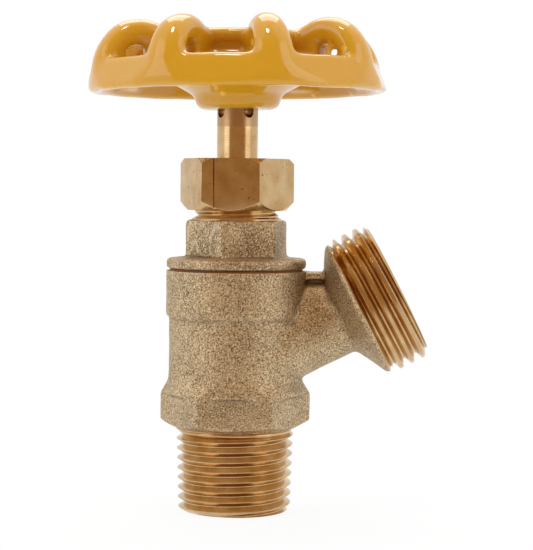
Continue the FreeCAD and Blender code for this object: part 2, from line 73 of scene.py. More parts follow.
# Flats of a thread's crest and root, as shares of its pitch
PIPE_FLATS = (0.1, 0.08)
HOSE_FLATS = (0.28, 0.14)
NECK_FLATS = (0.25, 0.14)
LIFT_FLATS = (0.3, 0.3)
# Length and depth of the ripples that sand or a dip leaves in a skin
BODY_RIPPLE = (4.5 * MM, 0.09 * MM)
BONNET_RIPPLE = (3.5 * MM, 0.06 * MM)
WHEEL_RIPPLE = (6.0 * MM, 0.15 * MM)
# Degrees above which an edge stays crisp
CAST_SHARP = 38
TURNED_SHARP = 32
NUT_SHARP = 40
WHEEL_SHARP = 45

# Places that the frame gives
INLET_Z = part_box("valve_body")[0].z
BODY_TOP_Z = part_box("bonnet_gasket")[0].z
FLANGE_FOOT_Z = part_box("bonnet_gasket")[1].z
FLANGE_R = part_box("bonnet")[1].x
SPIGOT_FOOT_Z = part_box("bonnet")[0].z
NECK_TOP_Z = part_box("bonnet")[1].z
NUT_FOOT_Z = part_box("packing_nut")[0].z
NUT_TOP_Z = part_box("packing_nut")[1].z
WHEEL_FOOT_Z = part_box("handwheel")[0].z
WHEEL_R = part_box("handwheel")[1].x
STUFFING_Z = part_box("packing_washer")[0].z
STUFFING_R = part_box("packing_ring_1")[1].x
NUT_ROOF_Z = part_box("packing_gland")[1].z
STEM_TOP_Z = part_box("stem")[1].z
WASHER_FOOT_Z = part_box("handwheel_washer")[0].z


def linear(hex_colour):
    """Linear RGBA from an sRGB hex colour."""
    channels = []
    for start in (1, 3, 5):
        value = int(hex_colour[start:start + 2], 16) / 255
        channels.append(value / 12.92 if value <= 0.04045 else ((value + 0.055) / 1.055) ** 2.4)
    return (*channels, 1.0)


def length(name, description, millimetres):
    """A size property, stated in millimetres and kept in metres."""
    return FloatProperty(name=name, description=description, default=millimetres * MM, unit="LENGTH", precision=5)


def angle(name, description, degrees):
    """An angle property, stated in degrees and kept in radians."""
    return FloatProperty(name=name, description=description, default=math.radians(degrees), subtype="ANGLE")


def number(name, description, value):
    """A plain number property."""
    return FloatProperty(name=name, description=description, default=value)


def count(name, description, value):
    """A whole number property."""
    return IntProperty(name=name, description=description, default=value)


def colour(name, description, hex_colour):
    """A colour property, stated as sRGB hex and kept linear."""
    return FloatVectorProperty(name=name, description=description, default=linear(hex_colour),
                               size=4, subtype="COLOR", min=0.0, max=1.0)


class BodySizes(bpy.types.PropertyGroup):
    """Cast body: wrench hexagon, barrel and waterways."""

    hex_flats: length("Wrench flats", "Hexagon above the pipe thread, across flats", 24.3)
    hex_round: length("Wrench edge", "Radius of the hexagon's upright edges", 0.6)
    hex_foot_r: length("Hexagon foot", "Radius of the hexagon's coned foot, at the thread", 10.9)
    hex_full: length("Foot cone height", "Height of the coned foot", 1.4)
    shoulder: length("Shoulder", "Height of the shoulder's start above the inlet's end", 21.1)
    ledge: length("Ledge width", "How far the barrel's foot stands proud of the barrel", 0.65)
    ledge_z: length("Ledge", "Height of the barrel's foot, which stands proud of the hexagon's flats", 21.9)
    hex_top: length("Hexagon top", "Height of the shoulder's end above the inlet's end", 24.9)
    waist_r: length("Waist", "Radius of the barrel below the collar", 12.3)
    collar_z: length("Collar height", "Height of the collar's step above the inlet's end", 36.2)
    collar_r: length("Collar", "Radius of the barrel's collar", 12.9)
    pipe_bore_r: length("Inlet bore", "Radius of the inlet's bore", 6.8)
    seat_z: length("Seat height", "Height of the seat above the inlet's end", 22.6)
    seat_bore_r: length("Port", "Radius of the port through the seat", 5.6)
    seat_rim_r: length("Seat rim", "Radius of the raised seat", 7.2)
    chamber_floor: length("Chamber floor", "Height of the chamber's floor", 20.6)
    chamber_r: length("Chamber", "Radius of the chamber round the seat", 9.4)
    bonnet_bore_r: length("Bonnet bore", "Radius of the bore that takes the bonnet", 9.95)
    bonnet_bore_z: length("Bonnet bore height", "Height of that bore's foot", 36.2)
    voxel: length("Casting grid", "Grid on which the cast skin is formed", 0.3)
    melt: count("Casting softness", "Smoothing passes over the cast skin", 3)


class OutletSizes(bpy.types.PropertyGroup):
    """Angled outlet: neck, flare, web and hose end, measured along its axis from the stem's axis."""

    lean: angle("Lean", "Outlet's angle above the horizontal", 27.0)
    cross_z: length("Crossing", "Height at which the outlet's axis crosses the stem's", 26.1)
    neck_r: length("Neck", "Radius of the outlet's neck", 6.8)
    neck_spread: number("Neck spread", "How much wider the neck is where it leaves the barrel", 0.95)
    spread_end: length("Spread end", "Distance along the axis at which that widening ends", 17.0)
    flare_r: length("Flare", "Radius of the flare's sharp rim", 13.0)
    rim: length("Rim", "Distance along the axis to the back of the hose thread", 25.2)
    end: length("End", "Distance along the axis to the outlet's end", 33.5)
    crest_r: length("Hose thread crest", "Crest radius of the hose thread", 13.45)
    bore_r: length("Outlet bore", "Radius of the outlet's bore", 4.9)
    recess_r: length("Mouth", "Radius of the mouth's recess", 9.5)
    recess_depth: length("Mouth depth", "Depth of the mouth's recess", 7.6)
    web_foot_half: length("Web foot", "Half the web's width where its foot meets the barrel", 8.6)
    web_taper: number("Web taper", "How fast the web's foot narrows towards the flare", 0.21)
    bead_half: length("Web bead", "Half the width of the bead along the web's top", 2.8)
    bead: length("Web bead height", "Height of that bead", 1.3)


class ThreadSizes(bpy.types.PropertyGroup):
    """Pipe, hose and neck threads."""

    pipe_pitch: length("Pipe pitch", "14 threads to the inch", 25.4 / 14)
    pipe_depth: length("Pipe depth", "Depth of the pipe thread", 1.2)
    pipe_crest_r: length("Pipe crest", "Crest radius at the inlet's end", 10.36)
    pipe_length: length("Pipe length", "Length of the threaded inlet", 15.5)
    pipe_chamfer: length("Pipe chamfer", "Chamfer at the inlet's end", 0.9)
    hose_pitch: length("Hose pitch", "11.5 threads to the inch", 25.4 / 11.5)
    hose_depth: length("Hose depth", "Depth of the hose thread", 1.4)
    hose_chamfer: length("Hose chamfer", "Chamfer at the outlet's end", 1.15)
    neck_pitch: length("Neck pitch", "18 threads to the inch", 25.4 / 18)
    neck_depth: length("Neck depth", "Depth of the bonnet's neck thread", 0.6)
    lift_pitch: length("Lift pitch", "12 threads to the inch", 25.4 / 12)
    lift_crest_r: length("Lift crest", "Crest radius of the stem's lifting thread", 4.75)


class BonnetSizes(bpy.types.PropertyGroup):
    """Bonnet and packing nut."""

    flange: length("Flange", "Thickness of the bonnet's flange", 2.2)
    flange_fall: length("Flange fall", "How far the flange's top falls towards its edge", 0.25)
    flange_round: length("Flange edge", "Radius of the flange's upper edge", 0.55)
    flats: length("Bonnet flats", "Bonnet's hexagon, across flats", 16.9)
    turn: angle("Bonnet turn", "Turn of the bonnet's hexagon", 15.6)
    hex_top: length("Bonnet hexagon top", "Height of the hexagon's top above the inlet's end", 53.8)
    shoulder_r: length("Shoulder", "Radius of the machined shoulder under the nut", 8.3)
    neck_r: length("Neck", "Crest radius of the threaded neck", 7.7)
    spigot_r: length("Spigot", "Radius of the spigot inside the body", 9.85)
    core_r: length("Core", "Radius to which the cast bonnet is filled by its machined core", 7.8)
    stem_bore_r: length("Stem bore", "Radius of the bore for the stem", 3.85)
    lift_r: length("Lift bore", "Radius of the bore for the stem's lifting thread", 4.95)
    nut_flats: length("Nut flats", "Packing nut, across flats", 18.3)
    nut_turn: angle("Nut turn", "Turn of the packing nut", -6.5)
    nut_top_chamfer: length("Nut top chamfer", "Chamfer on the nut's upper corners", 0.8)
    nut_foot_chamfer: length("Nut foot chamfer", "Chamfer on the nut's lower corners", 1.5)
    nut_groove: length("Nut groove", "Width of the tool mark down the nut's front", 0.4)
    groove_place: length("Groove place", "How far left of the front face's middle that mark is", 3.05)
    nut_edge: length("Nut edge", "Width of the nut's worn edges", 0.2)
    voxel: length("Bonnet grid", "Grid on which the bonnet's cast skin is formed", 0.26)
    melt: count("Bonnet softness", "Smoothing passes over the bonnet's cast skin", 6)


class StemSizes(bpy.types.PropertyGroup):
    """Stem. Heights are above the inlet's end."""

    stem_r: length("Stem", "Radius of the stem", 3.76)
    button_r: length("Button", "Radius of the button that lifts the disc holder", 3.4)
    button: length("Button thickness", "Thickness of that button", 1.6)
    throat_r: length("Throat", "Radius of the stem above the button", 2.3)
    thread_foot: length("Thread foot", "Height of the lifting thread's foot", 31.4)
    thread_top: length("Thread top", "Height of the lifting thread's top", 48.2)
    flutes: count("Flutes", "Number of flutes under the handwheel", 4)
    flute_r: length("Flute", "Radius of a flute", 1.05)
    flute_turn: angle("Flute turn", "Turn of the first flute", -55)
    flute_end: length("Flute end", "How far the flutes run out below the wheel's hub", 0.5)
    screw_hole_r: length("Screw hole", "Radius of the hole for the wheel's screw", 2.1)
    # painted shade: above this height the stem takes a darker tone, as the shade under the handwheel, and is also made
    # duller
    stem_shade_z: length("Handled", "Height above which the stem is dull and brown", 70.8)


class WheelSizes(bpy.types.PropertyGroup):
    """Handwheel. Heights are above the underside of its rim."""

    hub_drop: length("Hub drop", "How far the hub hangs below the rim", 3.2)
    hub_r: length("Hub", "Radius of the hub", 7.9)
    hub_round: length("Hub edge", "Radius of the hub's lower edge", 1.8)
    disc_r: length("Disc", "Radius of the raised disc inside the lobes", 14.0)
    disc_foot: length("Disc foot", "Height of the disc's underside", 8.4)
    disc_top: length("Disc top", "Height of the disc's top", 10.9)
    recess_r: length("Recess", "Radius of the recess for the screw", 7.3)
    lip: length("Lip", "Height of the rim between the lobes", 5.6)
    lobe_half: length("Lobe", "Half the width of a lobe where it leaves the disc", 2.4)
    lobe_foot_half: length("Lobe foot", "Half the width of a lobe at the rim's foot", 4.2)
    lobe_thick: length("Lobe thickness", "Half the thickness of a lobe's bar", 2.45)
    lobe_web: length("Lobe web", "Half the thickness of the web under a lobe", 2.0)
    facet_r: length("Facet", "Distance from the axis to the flat between two lobes, at its foot", 27.2)
    facet_draft: angle("Facet draft", "How far that flat leans in", 21)
    lean: angle("Lean", "How far the wheel sits down at its left", 0.6)
    bore_r: length("Bore", "Radius of the bore on the stem", 3.8)
    screw_hole_r: length("Screw hole", "Radius of the hole for the screw", 2.25)
    lobes: count("Lobes", "Number of lobes and of finger scoops", 8)
    turn: angle("Lobe turn", "Turn of the first lobe", 15.5)
    voxel: length("Enamel grid", "Grid on which the enamelled skin is formed", 0.42)
    melt: count("Enamel softness", "Smoothing passes over the enamelled skin", 12)


class FinishColours(bpy.types.PropertyGroup):
    """Colours of the finishes."""

    cast_mid: colour("Cast brass", "Cast brass, main tone", "#C8AF89")
    cast_dark: colour("Cast brass, dark", "Grains in shade", "#6F5533")
    # painted shade: the dark brown laid in the castings' creases, where shade falls
    cast_crease_shade: colour("Cast brass, creases", "Brown that a casting keeps in its creases", "#5A4022")
    cast_light: colour("Cast brass, light", "Grains that catch the light", "#ECDCBF")
    turned_mid: colour("Turned brass", "Turned brass, main tone", "#D3B58A")
    turned_warm: colour("Turned brass, warm", "Turned brass, deeper tone", "#C09A66")
    # painted shade: the darker tone of the stem just under the handwheel
    stem_shade: colour("Handled brass", "Stem just under the wheel", "#BD9970")
    milled_mid: colour("Milled brass", "Milled brass of the nut", "#CFB083")
    milled_warm: colour("Milled brass, warm", "Milled brass, deeper tone", "#BE9A68")
    enamel: colour("Enamel", "Golden yellow enamel", "#D09B1F")
    # deeper tone for the enamel's uneven coat and its pooling; in creases it is also painted shade
    enamel_deep: colour("Enamel, deep", "Enamel where it pools", "#CB9019")
    # painted highlight: the paler tone laid along the wheel's edges
    enamel_edge_highlight: colour("Enamel, thin", "Enamel drawn thin over edges", "#E8BA48")
    fibre: colour("Fibre", "Red fibre of the gasket", "#8C5422")
    graphite: colour("Graphite", "Graphite packing", "#3A3A3C")
    rubber: colour("Rubber", "Black seat washer", "#1C1C1E")
    steel: colour("Plated steel", "Zinc plate of the wheel's screw", "#C6C4BC")


class PhotoStage(bpy.types.PropertyGroup):
    """Camera of the photograph, and its soft light."""

    distance: length("Distance", "Camera's distance in front of the stem's axis", 336.0)
    side: length("Side", "Camera's place to the right of the stem's axis", 5.6)
    eye: length("Eye height", "Camera's height above the inlet's end", 59.7)
    tilt: angle("Tilt", "How far the camera looks down", 2.74)
    roll: angle("Roll", "Roll of the camera", 0.58)
    lens: number("Lens", "Focal length on a 36 mm sensor, in millimetres", 119.1)
    room_front: colour("Dim front", "The room in front, beyond the light tent's opening", "#B5926A")
    room_side: number("Bright sides", "Brightness of the tent round the sides", 0.95)


# Meshes

def arc(centre, radius, start, end, parts=4):
    """Profile points along an arc about a (radius, height) centre. Angles are degrees, outward to up."""
    points = []
    for k in range(parts + 1):
        towards = math.radians(start + (end - start) * k / parts)
        points.append((centre[0] + radius * math.cos(towards), centre[1] + radius * math.sin(towards)))
    return points


def moved(bm, matrix):
    bmesh.ops.transform(bm, verts=bm.verts[:], matrix=matrix)
    return bm


def turned(profile, steps=TURN_STEPS):
    """Closed shell of revolution about Z, from (radius, height) points."""
    bm = bmesh.new()
    row = [bm.verts.new((radius, 0, height)) for radius, height in profile]
    line = [bm.edges.new(pair) for pair in zip(row, row[1:])]
    bmesh.ops.spin(bm, geom=row + line, cent=(0, 0, 0), axis=(0, 0, 1), dvec=(0, 0, 0),
                   angle=math.tau, steps=steps, use_merge=True)
    bmesh.ops.remove_doubles(bm, verts=bm.verts[:], dist=WELD)
    bmesh.ops.recalc_face_normals(bm, faces=bm.faces[:])
    return bm


def rod(radius, low, high, steps=TURN_STEPS):
    return turned([(0, low), (radius, low), (radius, high), (0, high)], steps)


def hexagon(flats, low, high, turn, edge_round=0.0):
    """Hexagonal prism with one corner turned from +X."""
    bm = bmesh.new()
    made = bmesh.ops.create_circle(bm, cap_ends=True, segments=6, radius=flats / math.sqrt(3))
    first = made["verts"][0].co
    moved(bm, Matrix.Translation((0, 0, low)) @ Matrix.Rotation(turn - math.atan2(first.y, first.x), 4, "Z"))
    raised = bmesh.ops.extrude_face_region(bm, geom=bm.faces[:])
    top = [v for v in raised["geom"] if isinstance(v, bmesh.types.BMVert)]
    bmesh.ops.translate(bm, verts=top, vec=(0, 0, high - low))
    bmesh.ops.recalc_face_normals(bm, faces=bm.faces[:])
    if edge_round:
        upright = [e for e in bm.edges if abs(e.verts[0].co.z - e.verts[1].co.z) > WELD]
        bmesh.ops.bevel(bm, geom=upright, offset=edge_round, offset_type="OFFSET", segments=3,
                        profile=0.5, affect="EDGES", material=-1)
    return bm


def lofted(stations, sides=20):
    """Bar with an oval section. A station is (radius, height, lean in degrees, half width, half thickness)."""
    bm = bmesh.new()
    rings = []
    for radius, height, lean, half_width, half_thick in stations:
        place = Matrix.Translation((radius, 0, height)) @ Matrix.Rotation(math.radians(90 - lean), 4, "Y")
        size = Matrix.Diagonal((half_thick, half_width, 1, 1))
        made = bmesh.ops.create_circle(bm, cap_ends=False, segments=sides, radius=1, matrix=place @ size)
        rings.append([e for e in bm.edges if e.verts[0] in made["verts"] and e.verts[1] in made["verts"]])
    for near, far in zip(rings, rings[1:]):
        bmesh.ops.bridge_loops(bm, edges=near + far)
    bmesh.ops.contextual_create(bm, geom=rings[0])
    bmesh.ops.contextual_create(bm, geom=rings[-1])
    bmesh.ops.recalc_face_normals(bm, faces=bm.faces[:])
    return bm


def prism(outline, low, high):
    """Prism along Y from points in the XZ plane."""
    bm = bmesh.new()
    face = bm.faces.new([bm.verts.new((x, low, z)) for x, z in outline])
    raised = bmesh.ops.extrude_face_region(bm, geom=[face])
    far = [v for v in raised["geom"] if isinstance(v, bmesh.types.BMVert)]
    bmesh.ops.translate(bm, verts=far, vec=(0, high - low, 0))
    bmesh.ops.recalc_face_normals(bm, faces=bm.faces[:])
    return bm


def trimmed(bm, point, normal):
    """Cut a closed shell at a plane and close it again. What lies along the normal goes."""
    geom = bm.verts[:] + bm.edges[:] + bm.faces[:]
    cut = bmesh.ops.bisect_plane(bm, geom=geom, dist=WELD, plane_co=point, plane_no=normal, clear_outer=True)
    rim = [e for e in cut["geom_cut"] if isinstance(e, bmesh.types.BMEdge)]
    bmesh.ops.contextual_create(bm, geom=rim)
    bmesh.ops.recalc_face_normals(bm, faces=bm.faces[:])
    return bm


def gathered(shells):
    """One bmesh that holds several closed shells."""
    whole = bmesh.new()
    for shell in shells:
        part = bpy.data.meshes.new("shell")
        shell.to_mesh(part)
        shell.free()
        whole.from_mesh(part)
        bpy.data.meshes.remove(part)
    return whole


def thread_rod(pitch, depth, crest_r, low, high, flats, taper=0.0, turn=0.0):
    """Right-hand threaded rod, closed at both ends, with rounded shoulders between its flanks and flats."""
    bm = bmesh.new()
    half_crest, half_root = (flat / 2 for flat in flats)
    section = [(0, 1), (half_root, 1), (half_root + 0.03, 0.93), (0.47 - half_crest, 0.07),
               (0.51 - half_crest, 0), (0.49 + half_crest, 0), (0.53 + half_crest, 0.07),
               (0.97 - half_root, 0.93), (1 - half_root, 1), (1, 1)]
    foot = low - 2 * pitch
    turns = math.ceil((high - low) / pitch) + 4
    row = [bm.verts.new((crest_r - sunk * depth, 0, foot + along * pitch)) for along, sunk in section]
    line = [bm.edges.new(pair) for pair in zip(row, row[1:])]
    bmesh.ops.spin(bm, geom=row + line, cent=(0, 0, 0), axis=(0, 0, 1), dvec=(0, 0, pitch / THREAD_STEPS),
                   angle=math.tau * turns, steps=THREAD_STEPS * turns)
    bmesh.ops.remove_doubles(bm, verts=bm.verts[:], dist=WELD)
    for vert in bm.verts:
        reach = Vector((vert.co.x, vert.co.y, 0))
        vert.co += reach.normalized() * vert.co.z * taper
    trimmed(moved(bm, Matrix.Rotation(turn, 4, "Z")), (0, 0, low), (0, 0, -1))
    return trimmed(bm, (0, 0, high), (0, 0, 1))


# Objects

def as_object(name, bm, material=None):
    """Make a scene object from a bmesh."""
    mesh = bpy.data.meshes.new(name)
    bm.to_mesh(mesh)
    bm.free()
    obj = bpy.data.objects.new(name, mesh)
    bpy.context.scene.collection.objects.link(obj)
    if material:
        mesh.materials.append(material)
    return obj


def settle(obj):
    """Keep what the modifiers make as the object's own mesh."""
    depsgraph = bpy.context.evaluated_depsgraph_get()
    made = bpy.data.meshes.new_from_object(obj.evaluated_get(depsgraph))
    old = obj.data
    obj.modifiers.clear()
    obj.data = made
    bpy.data.meshes.remove(old)


def combine(obj, operation, shell, material=None):
    """Cut, join or intersect an object with a shell, whose faces bring their own material."""
    tool = as_object("tool", shell, material)
    step = obj.modifiers.new("combine", "BOOLEAN")
    step.operation = operation
    step.solver = "EXACT"
    step.material_mode = "TRANSFER"
    step.object = tool
    settle(obj)
    mesh = tool.data
    bpy.data.objects.remove(tool)
    bpy.data.meshes.remove(mesh)
    if not obj.data.polygons:
        raise RuntimeError("nothing is left of " + obj.name)


def drawn_from(obj):
    """An object's mesh as a bmesh."""
    bm = bmesh.new()
    bm.from_mesh(obj.data)
    return bm


def skinned(obj, sizes, ripple, move=Matrix()):
    """Melt the shells of an object into one skin, soften its edges, ripple it along its normals and move it."""
    step = obj.modifiers.new("skin", "REMESH")
    step.mode = "VOXEL"
    step.voxel_size = sizes.voxel
    settle(obj)
    bm = drawn_from(obj)
    for _ in range(sizes.melt):
        bmesh.ops.smooth_vert(bm, verts=bm.verts[:], factor=0.5, use_axis_x=True, use_axis_y=True, use_axis_z=True)
    bm.normal_update()
    wave, depth = ripple
    for vert in bm.verts:
        vert.co += vert.normal * (noise.noise(vert.co / wave) * depth)
    moved(bm, move).to_mesh(obj.data)
    bm.free()


def painted(obj, material):
    """Give every face of an object one material."""
    obj.data.materials.clear()
    obj.data.materials.append(material)
    obj.data.polygons.foreach_set("material_index", [0] * len(obj.data.polygons))


def shaded(obj, sharp_degrees):
    """Smooth shading that stays crisp over edges sharper than an angle."""
    obj.data.shade_smooth()
    obj.data.set_sharp_from_angle(angle=math.radians(sharp_degrees))


def hand_over(obj, body, slot, *nodes):
    """Tell the frame what a finished piece rides on, by its body's empty, and hide the nodes that it stands for. Its
    finish, slot, is not used.
    """
    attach(obj, body)
    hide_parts(*nodes)


def dress(node, material):
    """Give a node that stays in view its finish."""
    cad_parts[node].material_slots[0].material = material


# Materials

def add_node(tree, kind, settings=None):
    """Add a node and return its outputs. Settings are its options, and its sockets' values or what feeds them."""
    made = tree.nodes.new(kind)
    sockets = {socket.identifier: socket for socket in made.inputs}
    for key, value in (settings or {}).items():
        if key not in sockets:
            setattr(made, key, value)
        elif isinstance(value, bpy.types.NodeSocket):
            tree.links.new(value, sockets[key])
        else:
            sockets[key].default_value = value
    return {socket.identifier: socket for socket in made.outputs}


def layered(tree, tone, layers):
    """Lay tones over a base. A layer is (tone, value that it follows, where it starts, where it is full, its most)."""
    for over, value, start, full, most in layers:
        part = add_node(tree, "ShaderNodeMapRange", {
            "From Min": start, "From Max": full, "To Max": most, "Value": value})["Result"]
        tone = add_node(tree, "ShaderNodeMix", {
            "data_type": "RGBA", "Factor_Float": part, "A_Color": tone, "B_Color": over})["Result_Color"]
    return tone


def begin_material(name):
    """A material without a shader yet: its tree and its object coordinates."""
    made = bpy.data.materials.new(name)
    made.use_nodes = True
    tree = made.node_tree
    tree.nodes.clear()
    return tree, add_node(tree, "ShaderNodeTexCoord")["Object"]


def end_material(tree, settings):
    """Close a material with its shader, whose settings are given as for any node."""
    shader = add_node(tree, "ShaderNodeBsdfPrincipled", settings)["BSDF"]
    add_node(tree, "ShaderNodeOutputMaterial", {"Surface": shader})


# brown is the most that the dark patches take; a high share makes a darker copy of the brass, which is painted shade
def cast_brass(name, brown):
    """Sand-cast brass, shot-blasted: dull, with dark and bright grains about 0.3 mm across, painted shade in creases
    and a painted highlight along edges.
    """
    tones = bpy.context.scene.drain_colours
    tree, coords = begin_material(name)
    grain_size = 0.27 * MM
    patch_size = 5.0 * MM
    grain = add_node(tree, "ShaderNodeTexNoise", {
        "Scale": 1 / grain_size, "Detail": 2.0, "Roughness": 0.6, "Vector": coords})["Fac"]
    patch = add_node(tree, "ShaderNodeTexNoise", {"Scale": 1 / patch_size, "Detail": 2.0, "Vector": coords})["Fac"]
    bend = add_node(tree, "ShaderNodeNewGeometry")["Pointiness"]
    # the two layers that follow Pointiness are painted shade in creases and a painted highlight along convex edges
    tone = layered(tree, tones.cast_mid, [
        (tones.cast_dark, patch, 0.35, 0.7, brown), (tones.cast_dark, grain, 0.5, 0.32, 1.0),
        (tones.cast_light, grain, 0.5, 0.68, 1.0), (tones.cast_crease_shade, bend, 0.497, 0.455, 0.65),
        (tones.cast_light, bend, 0.515, 0.58, 0.35)])
    bump = add_node(tree, "ShaderNodeBump", {"Strength": 1.0, "Distance": 0.05 * MM, "Height": grain})["Normal"]
    end_material(tree, {"Metallic": 1.0, "Roughness": 0.56, "Base Color": tone, "Normal": bump})


def turned_brass(name, lean=0.0, stem_shade_z=None):
    """Brass turned on a lathe: bright, with fine rings round the turning axis, which leans from Z.

    Above the height that is given for the stem, just under the handwheel, it is duller, and darker and browner with
    painted shade.
    """
    tones = bpy.context.scene.drain_colours
    tree, coords = begin_material(name)
    # real tool marks are about 0.1 mm apart, and these are drawn coarser so that they show
    ring_gap = 0.3 * MM
    stain_size = 4.0 * MM
    upright = add_node(tree, "ShaderNodeMapping", {
        "vector_type": "TEXTURE", "Rotation": (0, lean, 0), "Vector": coords})["Vector"]
    drawn = add_node(tree, "ShaderNodeMapping", {"Scale": (0.03, 0.03, 1.0), "Vector": upright})["Vector"]
    ring = add_node(tree, "ShaderNodeTexNoise", {"Scale": 1 / ring_gap, "Detail": 2.0, "Vector": drawn})["Fac"]
    stain = add_node(tree, "ShaderNodeTexNoise", {
        "Scale": 1 / stain_size, "Detail": 4.0, "Roughness": 0.65, "Vector": coords})["Fac"]
    tone = layered(tree, tones.turned_mid, [(tones.turned_warm, stain, 0.35, 0.7, 1.0)])
    roughness = add_node(tree, "ShaderNodeMapRange", {
        "From Min": 0.3, "From Max": 0.7, "To Min": 0.13, "To Max": 0.24, "Value": stain})["Result"]
    # painted shade under the handwheel: the stem's top takes the darker tone, and a higher roughness
    if stem_shade_z:
        stem_shade_end = stem_shade_z + 0.15 * MM
        up = add_node(tree, "ShaderNodeSeparateXYZ", {"Vector": coords})["Z"]
        tone = layered(tree, tone, [(tones.stem_shade, up, stem_shade_z, stem_shade_end, 1.0)])
        duller = add_node(tree, "ShaderNodeMapRange", {
            "From Min": stem_shade_z, "From Max": stem_shade_end, "To Max": 0.14, "Value": up})["Result"]
        roughness = add_node(tree, "ShaderNodeMath", {
            "operation": "ADD", "Value": duller, "Value_001": roughness})["Value"]
    bump = add_node(tree, "ShaderNodeBump", {"Strength": 0.6, "Distance": 0.012 * MM, "Height": ring})["Normal"]
    end_material(tree, {"Metallic": 1.0, "Roughness": roughness, "Base Color": tone, "Normal": bump})


def milled_brass():
    """Brass bar as drawn and milled for a nut: faint upright streaks, small pits and dull scuffs."""
    tones = bpy.context.scene.drain_colours
    tree, coords = begin_material("milled_brass")
    # real draw marks are about 0.05 mm wide, and these are drawn coarser so that they show
    streak_gap = 0.25 * MM
    pit_size = 0.7 * MM
    cloud_size = 3.0 * MM
    drawn = add_node(tree, "ShaderNodeMapping", {"Scale": (1.0, 1.0, 0.04), "Vector": coords})["Vector"]
    streak = add_node(tree, "ShaderNodeTexNoise", {"Scale": 1 / streak_gap, "Detail": 2.0, "Vector": drawn})["Fac"]
    pit = add_node(tree, "ShaderNodeTexNoise", {"Scale": 1 / pit_size, "Detail": 1.0, "Vector": coords})["Fac"]
    cloud = add_node(tree, "ShaderNodeTexNoise", {"Scale": 1 / cloud_size, "Detail": 3.0, "Vector": coords})["Fac"]
    tone = layered(tree, tones.milled_mid, [
        (tones.milled_warm, cloud, 0.35, 0.68, 1.0), (tones.cast_dark, pit, 0.7, 0.78, 1.0)])
    bump = add_node(tree, "ShaderNodeBump", {"Strength": 0.5, "Distance": 0.01 * MM, "Height": streak})["Normal"]
    end_material(tree, {"Metallic": 1.0, "Roughness": 0.2, "Base Color": tone, "Normal": bump})


def yellow_enamel():
    """Baked enamel from a dip: deep gloss, with a painted highlight along edges, and deeper in creases, where its
    pooling and painted shade are laid together.
    """
    tones = bpy.context.scene.drain_colours
    tree, coords = begin_material("golden_enamel")
    cloud_size = 9.0 * MM
    sag_size = 3.5 * MM
    edge = add_node(tree, "ShaderNodeNewGeometry")["Pointiness"]
    cloud = add_node(tree, "ShaderNodeTexNoise", {"Scale": 1 / cloud_size, "Detail": 2.0, "Vector": coords})["Fac"]
    sag = add_node(tree, "ShaderNodeTexNoise", {"Scale": 1 / sag_size, "Detail": 1.0, "Vector": coords})["Fac"]
    # Pointiness lays the deeper tone in creases, as pooling and painted shade together, and the paler tone along edges
    # as a painted highlight
    tone = layered(tree, tones.enamel, [
        (tones.enamel_deep, cloud, 0.3, 0.75, 0.3), (tones.enamel_deep, edge, 0.485, 0.42, 1.0),
        (tones.enamel_edge_highlight, edge, 0.515, 0.6, 1.0)])
    bump = add_node(tree, "ShaderNodeBump", {"Strength": 0.3, "Distance": 0.08 * MM, "Height": sag})["Normal"]
    end_material(tree, {"Roughness": 0.4, "Specular IOR Level": 0.1, "Coat Weight": 1.0, "Coat Roughness": 0.03,
                        "Base Color": tone, "Normal": bump, "Coat Normal": bump})


def dull_material(name, tone, roughness, grain_size, metallic=0.0):
    """Fibre, packing, rubber or zinc plate: an even colour with a fine grain that breaks its sheen."""
    tree, coords = begin_material(name)
    grain = add_node(tree, "ShaderNodeTexNoise", {"Scale": 1 / grain_size, "Detail": 3.0, "Vector": coords})["Fac"]
    deeper = [channel * 0.45 for channel in tone[:3]] + [1.0]
    mixed = layered(tree, tone, [(deeper, grain, 0.3, 0.7, 0.4)])
    bump = add_node(tree, "ShaderNodeBump", {"Strength": 0.4, "Distance": 0.03 * MM, "Height": grain})["Normal"]
    end_material(tree, {"Metallic": metallic, "Roughness": roughness, "Base Color": mixed, "Normal": bump})


def finish(name):
    """A finish that an earlier operator has made."""
    return bpy.data.materials[name]


class VALVE_OT_finishes(bpy.types.Operator):
    """Make the finishes: cast, turned and milled brass, enamel, fibre, packing, rubber and plated steel"""

    bl_idname = "drain_valve.finishes"
    bl_label = "Finishes"

    def execute(self, context):
        tones = context.scene.drain_colours
        cast_brass("sand_cast_brass", 0.35)
        # painted shade: the bonnet's copy of the cast brass takes more of the dark patches, so it is a darker copy of
        # the same brass
        cast_brass("bonnet_cast_brass", 0.7)
        turned_brass("turned_brass")
        turned_brass("turned_brass_outlet", math.pi / 2 - context.scene.drain_outlet.lean)
        turned_brass("stem_brass", stem_shade_z=context.scene.drain_stem.stem_shade_z)
        milled_brass()
        yellow_enamel()
        dull_material("pressed_fibre", tones.fibre, 0.7, 0.3 * MM)
        dull_material("moulded_graphite", tones.graphite, 0.6, 0.3 * MM)
        dull_material("seat_rubber", tones.rubber, 0.55, 0.4 * MM)
        dull_material("zinc_plate", tones.steel, 0.35, 0.5 * MM, 1.0)
        return {"FINISHED"}


def outlet_place(outlet):
    """Matrix that lays a shell made up Z along the outlet's axis."""
    return Matrix.Translation((0, 0, outlet.cross_z)) @ Matrix.Rotation(math.pi / 2 - outlet.lean, 4, "Y")


